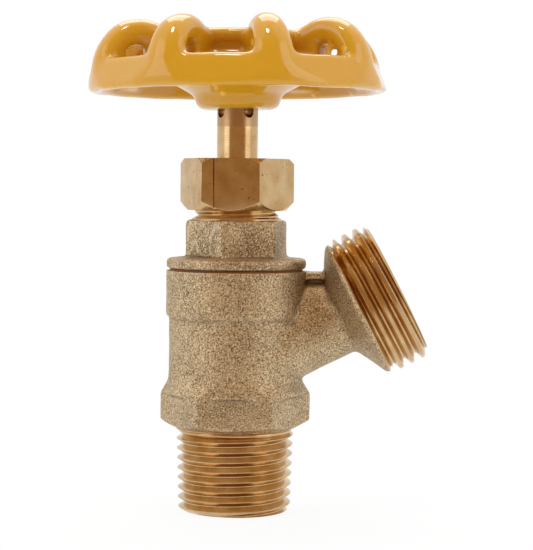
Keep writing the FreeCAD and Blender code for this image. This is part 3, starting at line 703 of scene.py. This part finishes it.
def inner_waterway(body):
    """Inlet bore, port, seat, chamber and the bore for the bonnet."""
    lip = 0.5 * MM
    return turned([
        (0, INLET_Z - 1 * MM), (body.pipe_bore_r, INLET_Z - 1 * MM), (body.pipe_bore_r, body.seat_z - 4.4 * MM),
        (body.seat_bore_r, body.seat_z - 3.2 * MM), (body.seat_bore_r, body.seat_z - lip),
        (body.seat_bore_r + lip, body.seat_z), (body.seat_rim_r - lip, body.seat_z),
        (body.seat_rim_r, body.seat_z - lip), (body.seat_rim_r, body.chamber_floor),
        (body.chamber_r, body.chamber_floor), (body.chamber_r, body.bonnet_bore_z),
        (body.bonnet_bore_r, body.bonnet_bore_z + 0.55 * MM),
        (body.bonnet_bore_r, BODY_TOP_Z + 3 * MM), (0, BODY_TOP_Z + 3 * MM)])


def outlet_waterway(outlet):
    cone_foot = outlet.end - outlet.recess_depth
    bore = turned([
        (0, 7.5 * MM), (outlet.bore_r, 7.5 * MM), (outlet.bore_r, cone_foot - 3.6 * MM),
        (outlet.recess_r, cone_foot), (outlet.recess_r, outlet.end + 2 * MM), (0, outlet.end + 2 * MM)])
    return moved(bore, outlet_place(outlet))


def outlet_neck(outlet):
    """Neck, wider where it leaves the barrel, and the straight cone of the flare."""
    neck = outlet.neck_r
    rim = outlet.rim
    flare = outlet.flare_r
    shell = turned([(0, 4 * MM)] + [(neck, along * MM) for along in (4, 7, 10, 13, 16, 18)]
                   + [(neck, rim - 4.0 * MM), (neck + 0.5 * MM, rim - 3.4 * MM), (flare - 0.3 * MM, rim - 0.4 * MM),
                      (flare, rim + 0.1 * MM), (flare, rim + 1.5 * MM), (0, rim + 1.5 * MM)])
    for vert in shell.verts:
        vert.co.y *= 1 + outlet.neck_spread * max(0.0, 1 - vert.co.z / outlet.spread_end)
    return moved(shell, outlet_place(outlet))


def outlet_web(outlet, waist_r):
    """Drafted rib between barrel and flare, whose foot follows the neck, and the bead along its top."""
    top = BODY_TOP_Z - 0.1 * MM
    shoulder = top - outlet.bead
    near = waist_r - 6 * MM
    far = waist_r + 17 * MM
    # shares of the half width at the foot, and of the height above it
    side = [(0.22, 1.0), (0.23, 0.93), (0.5, 0.84), (0.7, 0.7), (0.88, 0.46), (1.0, 0.06), (1.0, -0.15)]
    rib = prism([(-across, up) for across, up in side] + [(across, up) for across, up in reversed(side)], near, far)
    for vert in rib.verts:
        foot = outlet.cross_z + vert.co.y * math.tan(outlet.lean)
        vert.co.x *= outlet.web_foot_half - outlet.web_taper * (vert.co.y - near)
        vert.co.z = foot + vert.co.z * (shoulder + 0.1 * MM - foot)
    bmesh.ops.recalc_face_normals(rib, faces=rib.faces[:])
    bead = prism([(-outlet.bead_half, top), (outlet.bead_half, top), (outlet.bead_half + 0.1 * MM, shoulder),
                  (-outlet.bead_half - 0.1 * MM, shoulder)], near, far)
    place = outlet_place(outlet)
    for shell in (rib, bead):
        moved(shell, Matrix.Rotation(-math.pi / 2, 4, "Z"))
        trimmed(shell, place @ Vector((0, 0, outlet.rim - 0.8 * MM)), place.to_3x3() @ Vector((0, 0, 1)))
    return [rib, bead]


class VALVE_OT_body_casting(bpy.types.Operator):
    """Cast body: wrench hexagon, barrel, angled neck, flare and web, with its machined bores"""

    bl_idname = "drain_valve.body_casting"
    bl_label = "Body casting"

    def execute(self, context):
        body = context.scene.drain_body
        outlet = context.scene.drain_outlet
        pipe_length = context.scene.drain_threads.pipe_length
        corner = body.hex_flats / math.sqrt(3)
        below = pipe_length - 1.5 * MM
        casting = as_object("body_casting", hexagon(body.hex_flats, below, body.hex_top, 0.0, body.hex_round))
        trim = turned([
            (0, below), (body.hex_foot_r, below), (body.hex_foot_r, pipe_length),
            (corner + 0.2 * MM, pipe_length + body.hex_full), (corner + 0.2 * MM, body.shoulder),
            (body.waist_r + 0.9 * MM, body.shoulder + 1.7 * MM), (body.waist_r + 0.3 * MM, body.shoulder + 2.7 * MM),
            (body.waist_r - 0.1 * MM, body.hex_top),
            (0, body.hex_top)])
        combine(casting, "INTERSECT", trim)
        barrel = turned([
            (0, body.ledge_z), (body.waist_r + body.ledge, body.ledge_z),
            (body.waist_r + body.ledge, body.ledge_z + 0.4 * MM), (body.waist_r + 0.1 * MM, body.ledge_z + 2.2 * MM),
            (body.waist_r, body.hex_top + 1 * MM), (body.waist_r, body.collar_z - 0.3 * MM),
            (body.collar_r, body.collar_z), (body.collar_r, BODY_TOP_Z + 1 * MM), (0, BODY_TOP_Z + 1 * MM)])
        shells = [drawn_from(casting), barrel, outlet_neck(outlet)] + outlet_web(outlet, body.waist_r)
        gathered(shells).to_mesh(casting.data)
        skinned(casting, body, BODY_RIPPLE)
        painted(casting, finish("sand_cast_brass"))
        plain = finish("turned_brass")
        combine(casting, "DIFFERENCE", rod(corner + 2 * MM, below - 2 * MM, pipe_length), plain)
        combine(casting, "DIFFERENCE", rod(body.collar_r + 0.9 * MM, BODY_TOP_Z, BODY_TOP_Z + 3 * MM),
                finish("sand_cast_brass"))
        face = rod(outlet.crest_r + 3 * MM, outlet.rim + 0.25 * MM, outlet.rim + 4 * MM)
        combine(casting, "DIFFERENCE", moved(face, outlet_place(outlet)), plain)
        combine(casting, "DIFFERENCE", inner_waterway(body), plain)
        combine(casting, "DIFFERENCE", outlet_waterway(outlet), plain)
        shaded(casting, CAST_SHARP)
        hand_over(casting, "body", "cast_brass", "valve_body")
        return {"FINISHED"}


class VALVE_OT_pipe_thread(bpy.types.Operator):
    """Tapered pipe thread of the inlet, chamfered at its mouth"""

    bl_idname = "drain_valve.pipe_thread"
    bl_label = "Pipe thread"

    def execute(self, context):
        sizes = context.scene.drain_threads
        body = context.scene.drain_body
        plain = finish("turned_brass")
        top_r = sizes.pipe_crest_r + sizes.pipe_length * PIPE_TAPER
        chamfer = sizes.pipe_chamfer
        thread = as_object("pipe_thread", thread_rod(
            sizes.pipe_pitch, sizes.pipe_depth, sizes.pipe_crest_r, -1 * MM, sizes.pipe_length + 0.5 * MM,
            PIPE_FLATS, PIPE_TAPER, PIPE_TURN), plain)
        collar_r = top_r - 0.35 * MM
        collar_foot = sizes.pipe_length - 1.3 * MM
        collar_top = sizes.pipe_length + 0.3 * MM
        inside = body.pipe_bore_r - 0.5 * MM
        combine(thread, "UNION", turned(
            [(inside, collar_foot), (collar_r - 0.9 * MM, collar_foot)]
            + arc((collar_r - 0.45 * MM, sizes.pipe_length - 0.55 * MM), 0.45 * MM, -60, 60)
            + [(collar_r - 0.3 * MM, sizes.pipe_length), (collar_r - 0.3 * MM, collar_top), (inside, collar_top),
               (inside, collar_foot)]), plain)
        combine(thread, "INTERSECT", turned(
            [(0, 0), (sizes.pipe_crest_r - chamfer - 0.1 * MM, 0)]
            + arc((sizes.pipe_crest_r - chamfer - 0.1 * MM, chamfer), chamfer, -90, -30)
            + [(top_r + 1 * MM, 2.2 * MM), (top_r + 1 * MM, sizes.pipe_length), (0, sizes.pipe_length)]), plain)
        combine(thread, "DIFFERENCE", turned([
            (0, -1 * MM), (body.pipe_bore_r + 1.4 * MM, -1 * MM), (body.pipe_bore_r, 0.5 * MM),
            (body.pipe_bore_r, sizes.pipe_length + 1 * MM), (0, sizes.pipe_length + 1 * MM)]), plain)
        shaded(thread, TURNED_SHARP)
        hand_over(thread, "body", "machined_brass", "valve_body")
        return {"FINISHED"}


class VALVE_OT_hose_thread(bpy.types.Operator):
    """Hose thread of the outlet, with its mouth"""

    bl_idname = "drain_valve.hose_thread"
    bl_label = "Hose thread"

    def execute(self, context):
        sizes = context.scene.drain_threads
        outlet = context.scene.drain_outlet
        plain = finish("turned_brass_outlet")
        back = outlet.rim + 0.25 * MM
        crest = outlet.crest_r
        thread = as_object("hose_thread", thread_rod(
            sizes.hose_pitch, sizes.hose_depth, crest, back - 1 * MM, outlet.end + 1 * MM, HOSE_FLATS,
            turn=HOSE_TURN), plain)
        chamfer = sizes.hose_chamfer
        combine(thread, "INTERSECT", turned([
            (0, back), (crest - sizes.hose_depth, back), (crest - sizes.hose_depth, back + 0.6 * MM),
            (crest + 0.5 * MM, back + 1.5 * MM), (crest + 0.5 * MM, outlet.end - chamfer - 0.5 * MM),
            (crest - chamfer, outlet.end), (0, outlet.end)]), plain)
        combine(thread, "UNION", turned([
            (outlet.recess_r - 1 * MM, back), (outlet.flare_r, back), (outlet.flare_r, back + 0.15 * MM),
            (crest - sizes.hose_depth + 0.05 * MM, back + 0.7 * MM), (outlet.recess_r - 1 * MM, back + 0.7 * MM),
            (outlet.recess_r - 1 * MM, back)]), plain)
        thread.data.transform(outlet_place(outlet))
        combine(thread, "DIFFERENCE", outlet_waterway(outlet), plain)
        shaded(thread, TURNED_SHARP)
        hand_over(thread, "body", "machined_brass", "valve_body")
        return {"FINISHED"}


def bonnet_bores(bonnet):
    """Bores for the stem, its lifting thread and the packing."""
    relief_top = STUFFING_Z - 1.6 * MM
    return turned([
        (0, SPIGOT_FOOT_Z - 1 * MM), (bonnet.lift_r, SPIGOT_FOOT_Z - 1 * MM), (bonnet.lift_r, relief_top),
        (bonnet.stem_bore_r, relief_top), (bonnet.stem_bore_r, STUFFING_Z), (STUFFING_R, STUFFING_Z),
        (STUFFING_R, NECK_TOP_Z + 1 * MM), (0, NECK_TOP_Z + 1 * MM)])


class VALVE_OT_bonnet(bpy.types.Operator):
    """Bonnet: cast flange and hexagon, machined spigot and threaded neck"""

    bl_idname = "drain_valve.bonnet"
    bl_label = "Bonnet"

    def execute(self, context):
        bonnet = context.scene.drain_bonnet
        sizes = context.scene.drain_threads
        plain = finish("turned_brass")
        edge = 0.45 * MM
        top = FLANGE_FOOT_Z + bonnet.flange
        corner = bonnet.flats / math.sqrt(3)
        disc = turned([(0, FLANGE_FOOT_Z), (FLANGE_R - edge, FLANGE_FOOT_Z)]
                      + arc((FLANGE_R - edge, FLANGE_FOOT_Z + edge), edge, -90, 0)
                      + arc((FLANGE_R - bonnet.flange_round, top - bonnet.flange_fall - bonnet.flange_round),
                            bonnet.flange_round, 0, 80)
                      + [(corner - 0.3 * MM, top), (0, top)])
        casting = as_object("bonnet_casting", hexagon(
            bonnet.flats, top - 0.3 * MM, bonnet.hex_top, bonnet.turn, edge))
        combine(casting, "INTERSECT", turned([
            (0, top - 1 * MM), (corner + 1 * MM, top - 1 * MM), (corner + 1 * MM, bonnet.hex_top - 1.1 * MM),
            (corner - 0.9 * MM, bonnet.hex_top), (0, bonnet.hex_top)]))
        gathered([drawn_from(casting), disc]).to_mesh(casting.data)
        skinned(casting, bonnet, BONNET_RIPPLE)
        painted(casting, finish("bonnet_cast_brass"))
        combine(casting, "DIFFERENCE", rod(bonnet.core_r, FLANGE_FOOT_Z - 1 * MM, NECK_TOP_Z), plain)
        shaded(casting, CAST_SHARP)
        hand_over(casting, "body", "cast_brass", "bonnet")

        neck = as_object("bonnet_neck", thread_rod(
            sizes.neck_pitch, sizes.neck_depth, bonnet.neck_r, bonnet.hex_top, NECK_TOP_Z + 1 * MM, NECK_FLATS), plain)
        combine(neck, "INTERSECT", turned([
            (0, bonnet.hex_top + 0.5 * MM), (bonnet.neck_r + 1 * MM, bonnet.hex_top + 0.5 * MM),
            (bonnet.neck_r + 1 * MM, NECK_TOP_Z - 1.4 * MM), (bonnet.neck_r - 0.5 * MM, NECK_TOP_Z),
            (0, NECK_TOP_Z)]), plain)
        combine(neck, "UNION", turned([
            (0, SPIGOT_FOOT_Z), (bonnet.spigot_r - 0.8 * MM, SPIGOT_FOOT_Z),
            (bonnet.spigot_r, SPIGOT_FOOT_Z + 0.8 * MM), (bonnet.spigot_r, FLANGE_FOOT_Z),
            (bonnet.core_r, FLANGE_FOOT_Z), (bonnet.core_r, bonnet.hex_top - 0.5 * MM),
            (bonnet.shoulder_r, bonnet.hex_top - 0.5 * MM), (bonnet.shoulder_r, bonnet.hex_top + 0.2 * MM),
            (bonnet.neck_r - sizes.neck_depth, bonnet.hex_top + 0.8 * MM), (0, bonnet.hex_top + 0.8 * MM)]), plain)
        combine(neck, "DIFFERENCE", bonnet_bores(bonnet), plain)
        shaded(neck, TURNED_SHARP)
        hand_over(neck, "body", "machined_brass", "bonnet")
        return {"FINISHED"}


class VALVE_OT_packing_nut(bpy.types.Operator):
    """Packing nut: milled hexagon with turned chamfers and worn edges"""

    bl_idname = "drain_valve.packing_nut"
    bl_label = "Packing nut"

    def execute(self, context):
        bonnet = context.scene.drain_bonnet
        corner = bonnet.nut_flats / math.sqrt(3)
        foot = bonnet.nut_foot_chamfer
        cap = bonnet.nut_top_chamfer
        nut = as_object("packing_nut_body", hexagon(bonnet.nut_flats, NUT_FOOT_Z, NUT_TOP_Z, bonnet.nut_turn),
                        finish("milled_brass"))
        combine(nut, "INTERSECT", turned([
            (0, NUT_FOOT_Z), (corner - foot, NUT_FOOT_Z), (corner + 0.2 * MM, NUT_FOOT_Z + foot * 1.25),
            (corner + 0.2 * MM, NUT_TOP_Z - cap * 1.5), (corner - cap, NUT_TOP_Z), (0, NUT_TOP_Z)]),
            finish("turned_brass"))
        combine(nut, "DIFFERENCE", turned([
            (0, NUT_FOOT_Z - 1 * MM), (bonnet.neck_r + 0.05 * MM, NUT_FOOT_Z - 1 * MM),
            (bonnet.neck_r + 0.05 * MM, NUT_ROOF_Z), (bonnet.stem_bore_r, NUT_ROOF_Z),
            (bonnet.stem_bore_r, NUT_TOP_Z - 0.25 * MM), (bonnet.stem_bore_r + 0.5 * MM, NUT_TOP_Z + 0.25 * MM),
            (0, NUT_TOP_Z + 0.25 * MM)]), finish("turned_brass"))
        mark = rod(bonnet.nut_groove / 2, NUT_FOOT_Z - 1 * MM, NUT_TOP_Z + 1 * MM, 4)
        place = (Matrix.Rotation(bonnet.nut_turn, 4, "Z")
                 @ Matrix.Translation((-bonnet.groove_place, -bonnet.nut_flats / 2, 0))
                 @ Matrix.Diagonal((0.6, 1.4, 1, 1)))
        combine(nut, "DIFFERENCE", moved(mark, place), finish("milled_brass"))
        edge = nut.modifiers.new("worn edges", "BEVEL")
        edge.width = bonnet.nut_edge
        edge.segments = 2
        edge.limit_method = "ANGLE"
        edge.angle_limit = math.radians(24)
        edge.use_clamp_overlap = True
        settle(nut)
        shaded(nut, NUT_SHARP)
        hand_over(nut, "body", "machined_brass", "packing_nut")
        return {"FINISHED"}


def lifted(points, rim_z):
    """Profile points in metres from (radius, height above the rim's foot) in millimetres."""
    return [(radius * MM, rim_z + height * MM) for radius, height in points]


def wheel_core(wheel, rim_z):
    """Hub, coned dish and the disc in the middle of the wheel, as one turning."""
    hub = wheel.hub_r
    edge = wheel.hub_round
    foot = rim_z - wheel.hub_drop
    low = rim_z + wheel.disc_foot
    high = rim_z + wheel.disc_top
    return turned(
        [(0, foot), (hub - edge, foot)] + arc((hub - edge, foot + edge), edge, -90, 0)
        + lifted([(7.9, -0.7), (16.6, 3.9)], rim_z) + arc((16.9 * MM, rim_z + 4.8 * MM), 0.8 * MM, -60, 110)
        + lifted([(13.8, 6.0), (13.0, 6.9), (12.7, 7.9)], rim_z)
        + arc((wheel.disc_r - (high - low) / 2, (low + high) / 2), (high - low) / 2, -90, 90, 6)
        + [(wheel.recess_r + 0.8 * MM, high), (wheel.recess_r, high - 0.8 * MM), (wheel.recess_r, WASHER_FOOT_Z),
           (0, WASHER_FOOT_Z)])


def wheel_rim(wheel, rim_z):
    """Rim up to its lip, flattened between the lobes."""
    lip = wheel.lip / MM
    rim = turned(
        [(24.9 * MM, rim_z - 0.25 * MM)]
        + arc((WHEEL_R - 0.8 * MM, rim_z + 0.55 * MM), 0.8 * MM, -90, 0)
        + lifted([(27.55, 2.0), (27.3, 3.5)], rim_z) + arc((25.5 * MM, rim_z + (lip - 1.7) * MM), 1.7 * MM, 10, 90)
        + arc((23.5 * MM, rim_z + (lip - 0.9) * MM), 0.9 * MM, 90, 200)
        + lifted([(22.9, 3.9), (23.7, 3.2), (24.7, 1.0), (24.9, -0.25)], rim_z))
    for k in range(wheel.lobes):
        towards = Matrix.Rotation(wheel.turn + math.tau / wheel.lobes * (k + 0.5), 3, "Z")
        slope = Vector((math.cos(wheel.facet_draft), 0, math.sin(wheel.facet_draft)))
        trimmed(rim, towards @ Vector((wheel.facet_r, 0, rim_z)), towards @ slope)
    return rim


def wheel_lobe(wheel, rim_z):
    """One lobe: a bar that climbs from the disc and broadens down into the rim, and its web with an eye."""
    path = [(12.6, 8.35), (14.0, 8.95), (15.9, 10.0), (17.2, 10.5), (18.5, 10.65), (19.8, 10.5), (20.9, 10.15),
            (22.1, 9.4), (23.2, 8.2), (24.0, 6.9), (24.6, 5.3), (25.0, 3.0), (25.1, 1.3)]
    stations = []
    for k, (radius, height) in enumerate(path):
        before = path[max(k - 1, 0)]
        after = path[min(k + 1, len(path) - 1)]
        lean = math.degrees(math.atan2(after[1] - before[1], after[0] - before[0]))
        share = k / (len(path) - 1)
        half = wheel.lobe_half + (wheel.lobe_foot_half - wheel.lobe_half) * share ** 1.5
        stations.append((radius * MM, rim_z + height * MM, lean, half, wheel.lobe_thick))
    web = wheel.lobe_web
    inner_leg = prism(lifted([(13.4, 5.0), (17.5, 5.0), (17.6, 9.6), (16.0, 10.2), (13.6, 8.9)], rim_z), -web, web)
    outer_leg = prism(lifted([(21.3, 4.6), (24.6, 4.0), (24.4, 6.8), (23.0, 8.6), (21.2, 9.4)], rim_z), -web, web)
    foot = lofted([(radius * MM, rim_z + 4.9 * MM, 0, half * MM, 0.8 * MM)
                   for radius, half in ((15.5, 2.6), (18.5, 3.0), (21.5, 3.6), (24.5, 4.4))])
    return gathered([lofted(stations), inner_leg, outer_leg, foot])


class VALVE_OT_handwheel(bpy.types.Operator):
    """Handwheel: eight lobes and finger scoops under a thick coat of enamel"""

    bl_idname = "drain_valve.handwheel"
    bl_label = "Handwheel"

    def execute(self, context):
        wheel = context.scene.drain_wheel
        rim_z = WHEEL_FOOT_Z + wheel.hub_drop
        lobe = wheel_lobe(wheel, rim_z)
        shells = [wheel_core(wheel, rim_z), wheel_rim(wheel, rim_z)]
        for k in range(wheel.lobes):
            shells.append(moved(lobe.copy(), Matrix.Rotation(wheel.turn + math.tau / wheel.lobes * k, 4, "Z")))
        lobe.free()
        coat = as_object("handwheel_enamelled", gathered(shells))
        lean_z = rim_z + 4 * MM
        tip = Matrix.Translation((0, 0, lean_z)) @ Matrix.Rotation(-wheel.lean, 4, "Y")
        skinned(coat, wheel, WHEEL_RIPPLE, tip @ Matrix.Translation((0, 0, -lean_z)))
        enamel = finish("golden_enamel")
        painted(coat, enamel)
        combine(coat, "DIFFERENCE", rod(wheel.bore_r, WHEEL_FOOT_Z - 1 * MM, STEM_TOP_Z), enamel)
        combine(coat, "DIFFERENCE", rod(wheel.screw_hole_r, STEM_TOP_Z - 1 * MM, WASHER_FOOT_Z + 1 * MM), enamel)
        shaded(coat, WHEEL_SHARP)
        hand_over(coat, "spindle", "yellow_enamel", "handwheel")
        return {"FINISHED"}


class VALVE_OT_stem(bpy.types.Operator):
    """Stem: turned shaft with its button, lifting thread and flutes"""

    bl_idname = "drain_valve.stem"
    bl_label = "Stem"

    def execute(self, context):
        stem = context.scene.drain_stem
        sizes = context.scene.drain_threads
        plain = finish("stem_brass")
        crest = sizes.lift_crest_r
        lead = crest - stem.stem_r
        low = stem.thread_foot
        high = stem.thread_top
        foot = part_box("stem")[0].z
        edge = 0.4 * MM
        shaft = as_object("stem_turned", thread_rod(
            sizes.lift_pitch, lead + 0.05 * MM, crest, low - 0.2 * MM, high + 0.2 * MM, LIFT_FLATS), plain)
        combine(shaft, "INTERSECT", turned([
            (0, low), (stem.stem_r, low), (crest + 0.1 * MM, low + lead), (crest + 0.1 * MM, high - lead),
            (stem.stem_r, high), (0, high)]), plain)
        combine(shaft, "UNION", turned([
            (0, foot), (stem.button_r - edge, foot), (stem.button_r, foot + edge),
            (stem.button_r, foot + stem.button), (stem.throat_r, foot + stem.button),
            (stem.throat_r, low - 0.6 * MM), (stem.stem_r, low)]
            + [(stem.stem_r, WHEEL_FOOT_Z + step * MM) for step in (-9, -7, -5, -3.2, -2.2)] + [
            (stem.stem_r, STEM_TOP_Z - edge),
            (stem.stem_r - edge, STEM_TOP_Z), (0, STEM_TOP_Z)]), plain)
        low = WHEEL_FOOT_Z - stem.flute_end
        top = STEM_TOP_Z + 1 * MM
        for k in range(stem.flutes):
            cutter = turned([(0, low - stem.flute_r)] + arc((0, low), stem.flute_r, -75, 0)
                            + [(stem.flute_r, top), (0, top)], 32)
            towards = Matrix.Rotation(stem.flute_turn + math.tau / stem.flutes * k, 3, "Z")
            place = Matrix.Translation(towards @ Vector((stem.stem_r, 0, 0)))
            combine(shaft, "DIFFERENCE", moved(cutter, place), plain)
        screw_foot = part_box("handwheel_screw")[0].z - 1 * MM
        combine(shaft, "DIFFERENCE", rod(stem.screw_hole_r, screw_foot, STEM_TOP_Z + 1 * MM), plain)
        shaded(shaft, TURNED_SHARP)
        hand_over(shaft, "spindle", "machined_brass", "stem")
        return {"FINISHED"}


class VALVE_OT_small_pieces(bpy.types.Operator):
    """Finishes of the gasket, packing, washers, disc holder and screws, whose shapes come from the frame"""

    bl_idname = "drain_valve.small_pieces"
    bl_label = "Small pieces"

    def execute(self, context):
        for node in ("disc_holder", "seat_washer_screw", "packing_washer", "packing_gland"):
            dress(node, finish("turned_brass"))
        for node in ("packing_ring_1", "packing_ring_2"):
            dress(node, finish("moulded_graphite"))
        for node in ("handwheel_washer", "handwheel_screw"):
            dress(node, finish("zinc_plate"))
        dress("bonnet_gasket", finish("pressed_fibre"))
        dress("seat_washer", finish("seat_rubber"))
        return {"FINISHED"}


def softbox(name, place, size, watts):
    """Area lamp that faces the valve's middle."""
    lamp = bpy.data.lights.new(name, "AREA")
    lamp.shape = "RECTANGLE"
    lamp.size, lamp.size_y = size
    lamp.energy = watts
    obj = bpy.data.objects.new(name, lamp)
    obj.location = place
    obj.rotation_euler = (LAMPS_AIM - Vector(place)).to_track_quat("-Z", "Y").to_euler()
    bpy.context.scene.collection.objects.link(obj)


def room_tone(tree, direction, stage):
    """Tone of what stands round the valve in a direction: a bright tent, open to a dim room in front."""
    flat = add_node(tree, "ShaderNodeVectorMath", {
        "operation": "MULTIPLY", "Vector": direction, "Vector_001": (1, 1, 0)})["Vector"]
    level = add_node(tree, "ShaderNodeVectorMath", {"operation": "NORMALIZE", "Vector": flat})["Vector"]
    back = add_node(tree, "ShaderNodeSeparateXYZ", {"Vector": level})["Y"]
    tent = add_node(tree, "ShaderNodeMapRange", {
        "interpolation_type": "SMOOTHSTEP", "From Min": -0.74, "From Max": -0.64, "Value": back})["Result"]
    side = (*[stage.room_side] * 3, 1)
    return layered(tree, stage.room_front, [(side, tent, 0.0, 1.0, 1.0)])


def floor_finish(stage):
    """Matt white floor: white to the camera, to gloss like the room beyond it, and it still takes a shadow.

    Seen from below it is clear, so that the valve's underside can be looked at.
    """
    tree, coords = begin_material("pale_floor")
    matt = add_node(tree, "ShaderNodeBsdfPrincipled", {"Base Color": linear("#EDEDED"), "Roughness": 0.9})["BSDF"]
    paths = add_node(tree, "ShaderNodeLightPath")
    camera = paths["Is Camera Ray"]
    seen = add_node(tree, "ShaderNodeMath", {
        "operation": "MAXIMUM", "Value": camera, "Value_001": paths["Is Glossy Ray"]})["Value"]
    reach = add_node(tree, "ShaderNodeVectorMath", {"operation": "LENGTH", "Vector": coords})["Value"]
    white = add_node(tree, "ShaderNodeMapRange", {
        "From Min": 0.02, "From Max": 0.1, "To Min": 0.92, "To Max": 1.0, "Value": reach})["Result"]
    lit = add_node(tree, "ShaderNodeMath", {"operation": "MULTIPLY", "Value": seen, "Value_001": white})["Value"]
    tone = layered(tree, room_tone(tree, coords, stage), [
        (WHITE, reach, 0.3, 0.14, 0.75), (WHITE, camera, 0.0, 1.0, 1.0)])
    glow = add_node(tree, "ShaderNodeEmission", {"Strength": 1.0, "Color": tone})["Emission"]
    above = add_node(tree, "ShaderNodeMixShader", {"Fac": lit, "Shader": matt, "Shader_001": glow})["Shader"]
    beneath = add_node(tree, "ShaderNodeNewGeometry")["Backfacing"]
    hidden = add_node(tree, "ShaderNodeMath", {
        "operation": "MULTIPLY", "Value": camera, "Value_001": beneath})["Value"]
    clear = add_node(tree, "ShaderNodeBsdfTransparent")["BSDF"]
    both = add_node(tree, "ShaderNodeMixShader", {"Fac": hidden, "Shader": above, "Shader_001": clear})["Shader"]
    add_node(tree, "ShaderNodeOutputMaterial", {"Surface": both})


def light_tent(stage):
    """Tent that is bright round the sides and back and open in front, and white to the camera."""
    world = bpy.data.worlds.new("light_tent")
    world.use_nodes = True
    tree = world.node_tree
    tree.nodes.clear()
    coords = add_node(tree, "ShaderNodeTexCoord")["Generated"]
    camera = add_node(tree, "ShaderNodeLightPath")["Is Camera Ray"]
    seen = layered(tree, room_tone(tree, coords, stage), [(WHITE, camera, 0.0, 1.0, 1.0)])
    sky = add_node(tree, "ShaderNodeBackground", {"Strength": 1.0, "Color": seen})["Background"]
    add_node(tree, "ShaderNodeOutputWorld", {"Surface": sky})
    bpy.context.scene.world = world


class VALVE_OT_stage(bpy.types.Operator):
    """Pale floor, soft light and the photograph's camera"""

    bl_idname = "drain_valve.stage"
    bl_label = "Stage"

    def execute(self, context):
        stage = context.scene.drain_stage
        slab = bmesh.new()
        bmesh.ops.create_grid(slab, x_segments=1, y_segments=1, size=FLOOR_SIZE)
        floor_finish(stage)
        floor = as_object("floor", slab, finish("pale_floor"))
        floor.location.z = INLET_Z - 0.05 * MM
        light_tent(stage)
        softbox("softbox_left", (-0.42, -0.22, 0.26), (0.3, 0.4), 0.4)
        softbox("softbox_right", (0.42, -0.22, 0.26), (0.3, 0.4), 0.4)
        softbox("softbox_top", (0.0, 0.24, 0.5), (0.4, 0.3), 1.2)
        softbox("softbox_front", (-0.05, -0.18, 0.65), (0.11, 0.09), 0.75)

        camera = bpy.data.objects.new("camera", bpy.data.cameras.new("camera"))
        context.scene.collection.objects.link(camera)
        camera.data.lens = stage.lens
        camera.location = (stage.side, -stage.distance, stage.eye)
        level = Matrix.Rotation(math.pi / 2 - stage.tilt, 4, "X")
        camera.rotation_euler = (level @ Matrix.Rotation(stage.roll, 4, "Z")).to_euler()
        context.scene.camera = camera
        context.scene.view_settings.view_transform = "Standard"
        return {"FINISHED"}


class VALVE_PT_panel(bpy.types.Panel):
    """Lists the valve's pieces and sizes"""

    bl_idname = "VALVE_PT_panel"
    bl_label = "Boiler drain valve"
    bl_space_type = "VIEW_3D"
    bl_region_type = "UI"
    bl_category = "Drain valve"

    def draw(self, context):
        for operator in OPERATORS:
            self.layout.operator(operator.bl_idname)
        for name, group in GROUPS.items():
            box = self.layout.box()
            box.label(text=group.__doc__)
            for field in group.__annotations__:
                box.prop(getattr(context.scene, name), field)


GROUPS = {
    "drain_body": BodySizes, "drain_outlet": OutletSizes, "drain_threads": ThreadSizes,
    "drain_bonnet": BonnetSizes, "drain_stem": StemSizes, "drain_wheel": WheelSizes,
    "drain_colours": FinishColours, "drain_stage": PhotoStage,
}
OPERATORS = (
    VALVE_OT_finishes, VALVE_OT_body_casting, VALVE_OT_pipe_thread, VALVE_OT_hose_thread, VALVE_OT_bonnet,
    VALVE_OT_packing_nut, VALVE_OT_stem, VALVE_OT_handwheel, VALVE_OT_small_pieces, VALVE_OT_stage,
)


def register():
    for group in GROUPS.values():
        bpy.utils.register_class(group)
    for name, group in GROUPS.items():
        setattr(bpy.types.Scene, name, PointerProperty(type=group))
    for kind in (*OPERATORS, VALVE_PT_panel):
        bpy.utils.register_class(kind)


def unregister():
    for kind in (VALVE_PT_panel, *reversed(OPERATORS)):
        bpy.utils.unregister_class(kind)
    for name, group in GROUPS.items():
        delattr(bpy.types.Scene, name)
        bpy.utils.unregister_class(group)


def main():
    register()
    bpy.ops.drain_valve.finishes()
    bpy.ops.drain_valve.body_casting()
    bpy.ops.drain_valve.pipe_thread()
    bpy.ops.drain_valve.hose_thread()
    bpy.ops.drain_valve.bonnet()
    bpy.ops.drain_valve.packing_nut()
    bpy.ops.drain_valve.stem()
    bpy.ops.drain_valve.handwheel()
    bpy.ops.drain_valve.small_pieces()
    bpy.ops.drain_valve.stage()


if __name__ == "__main__":
    main()
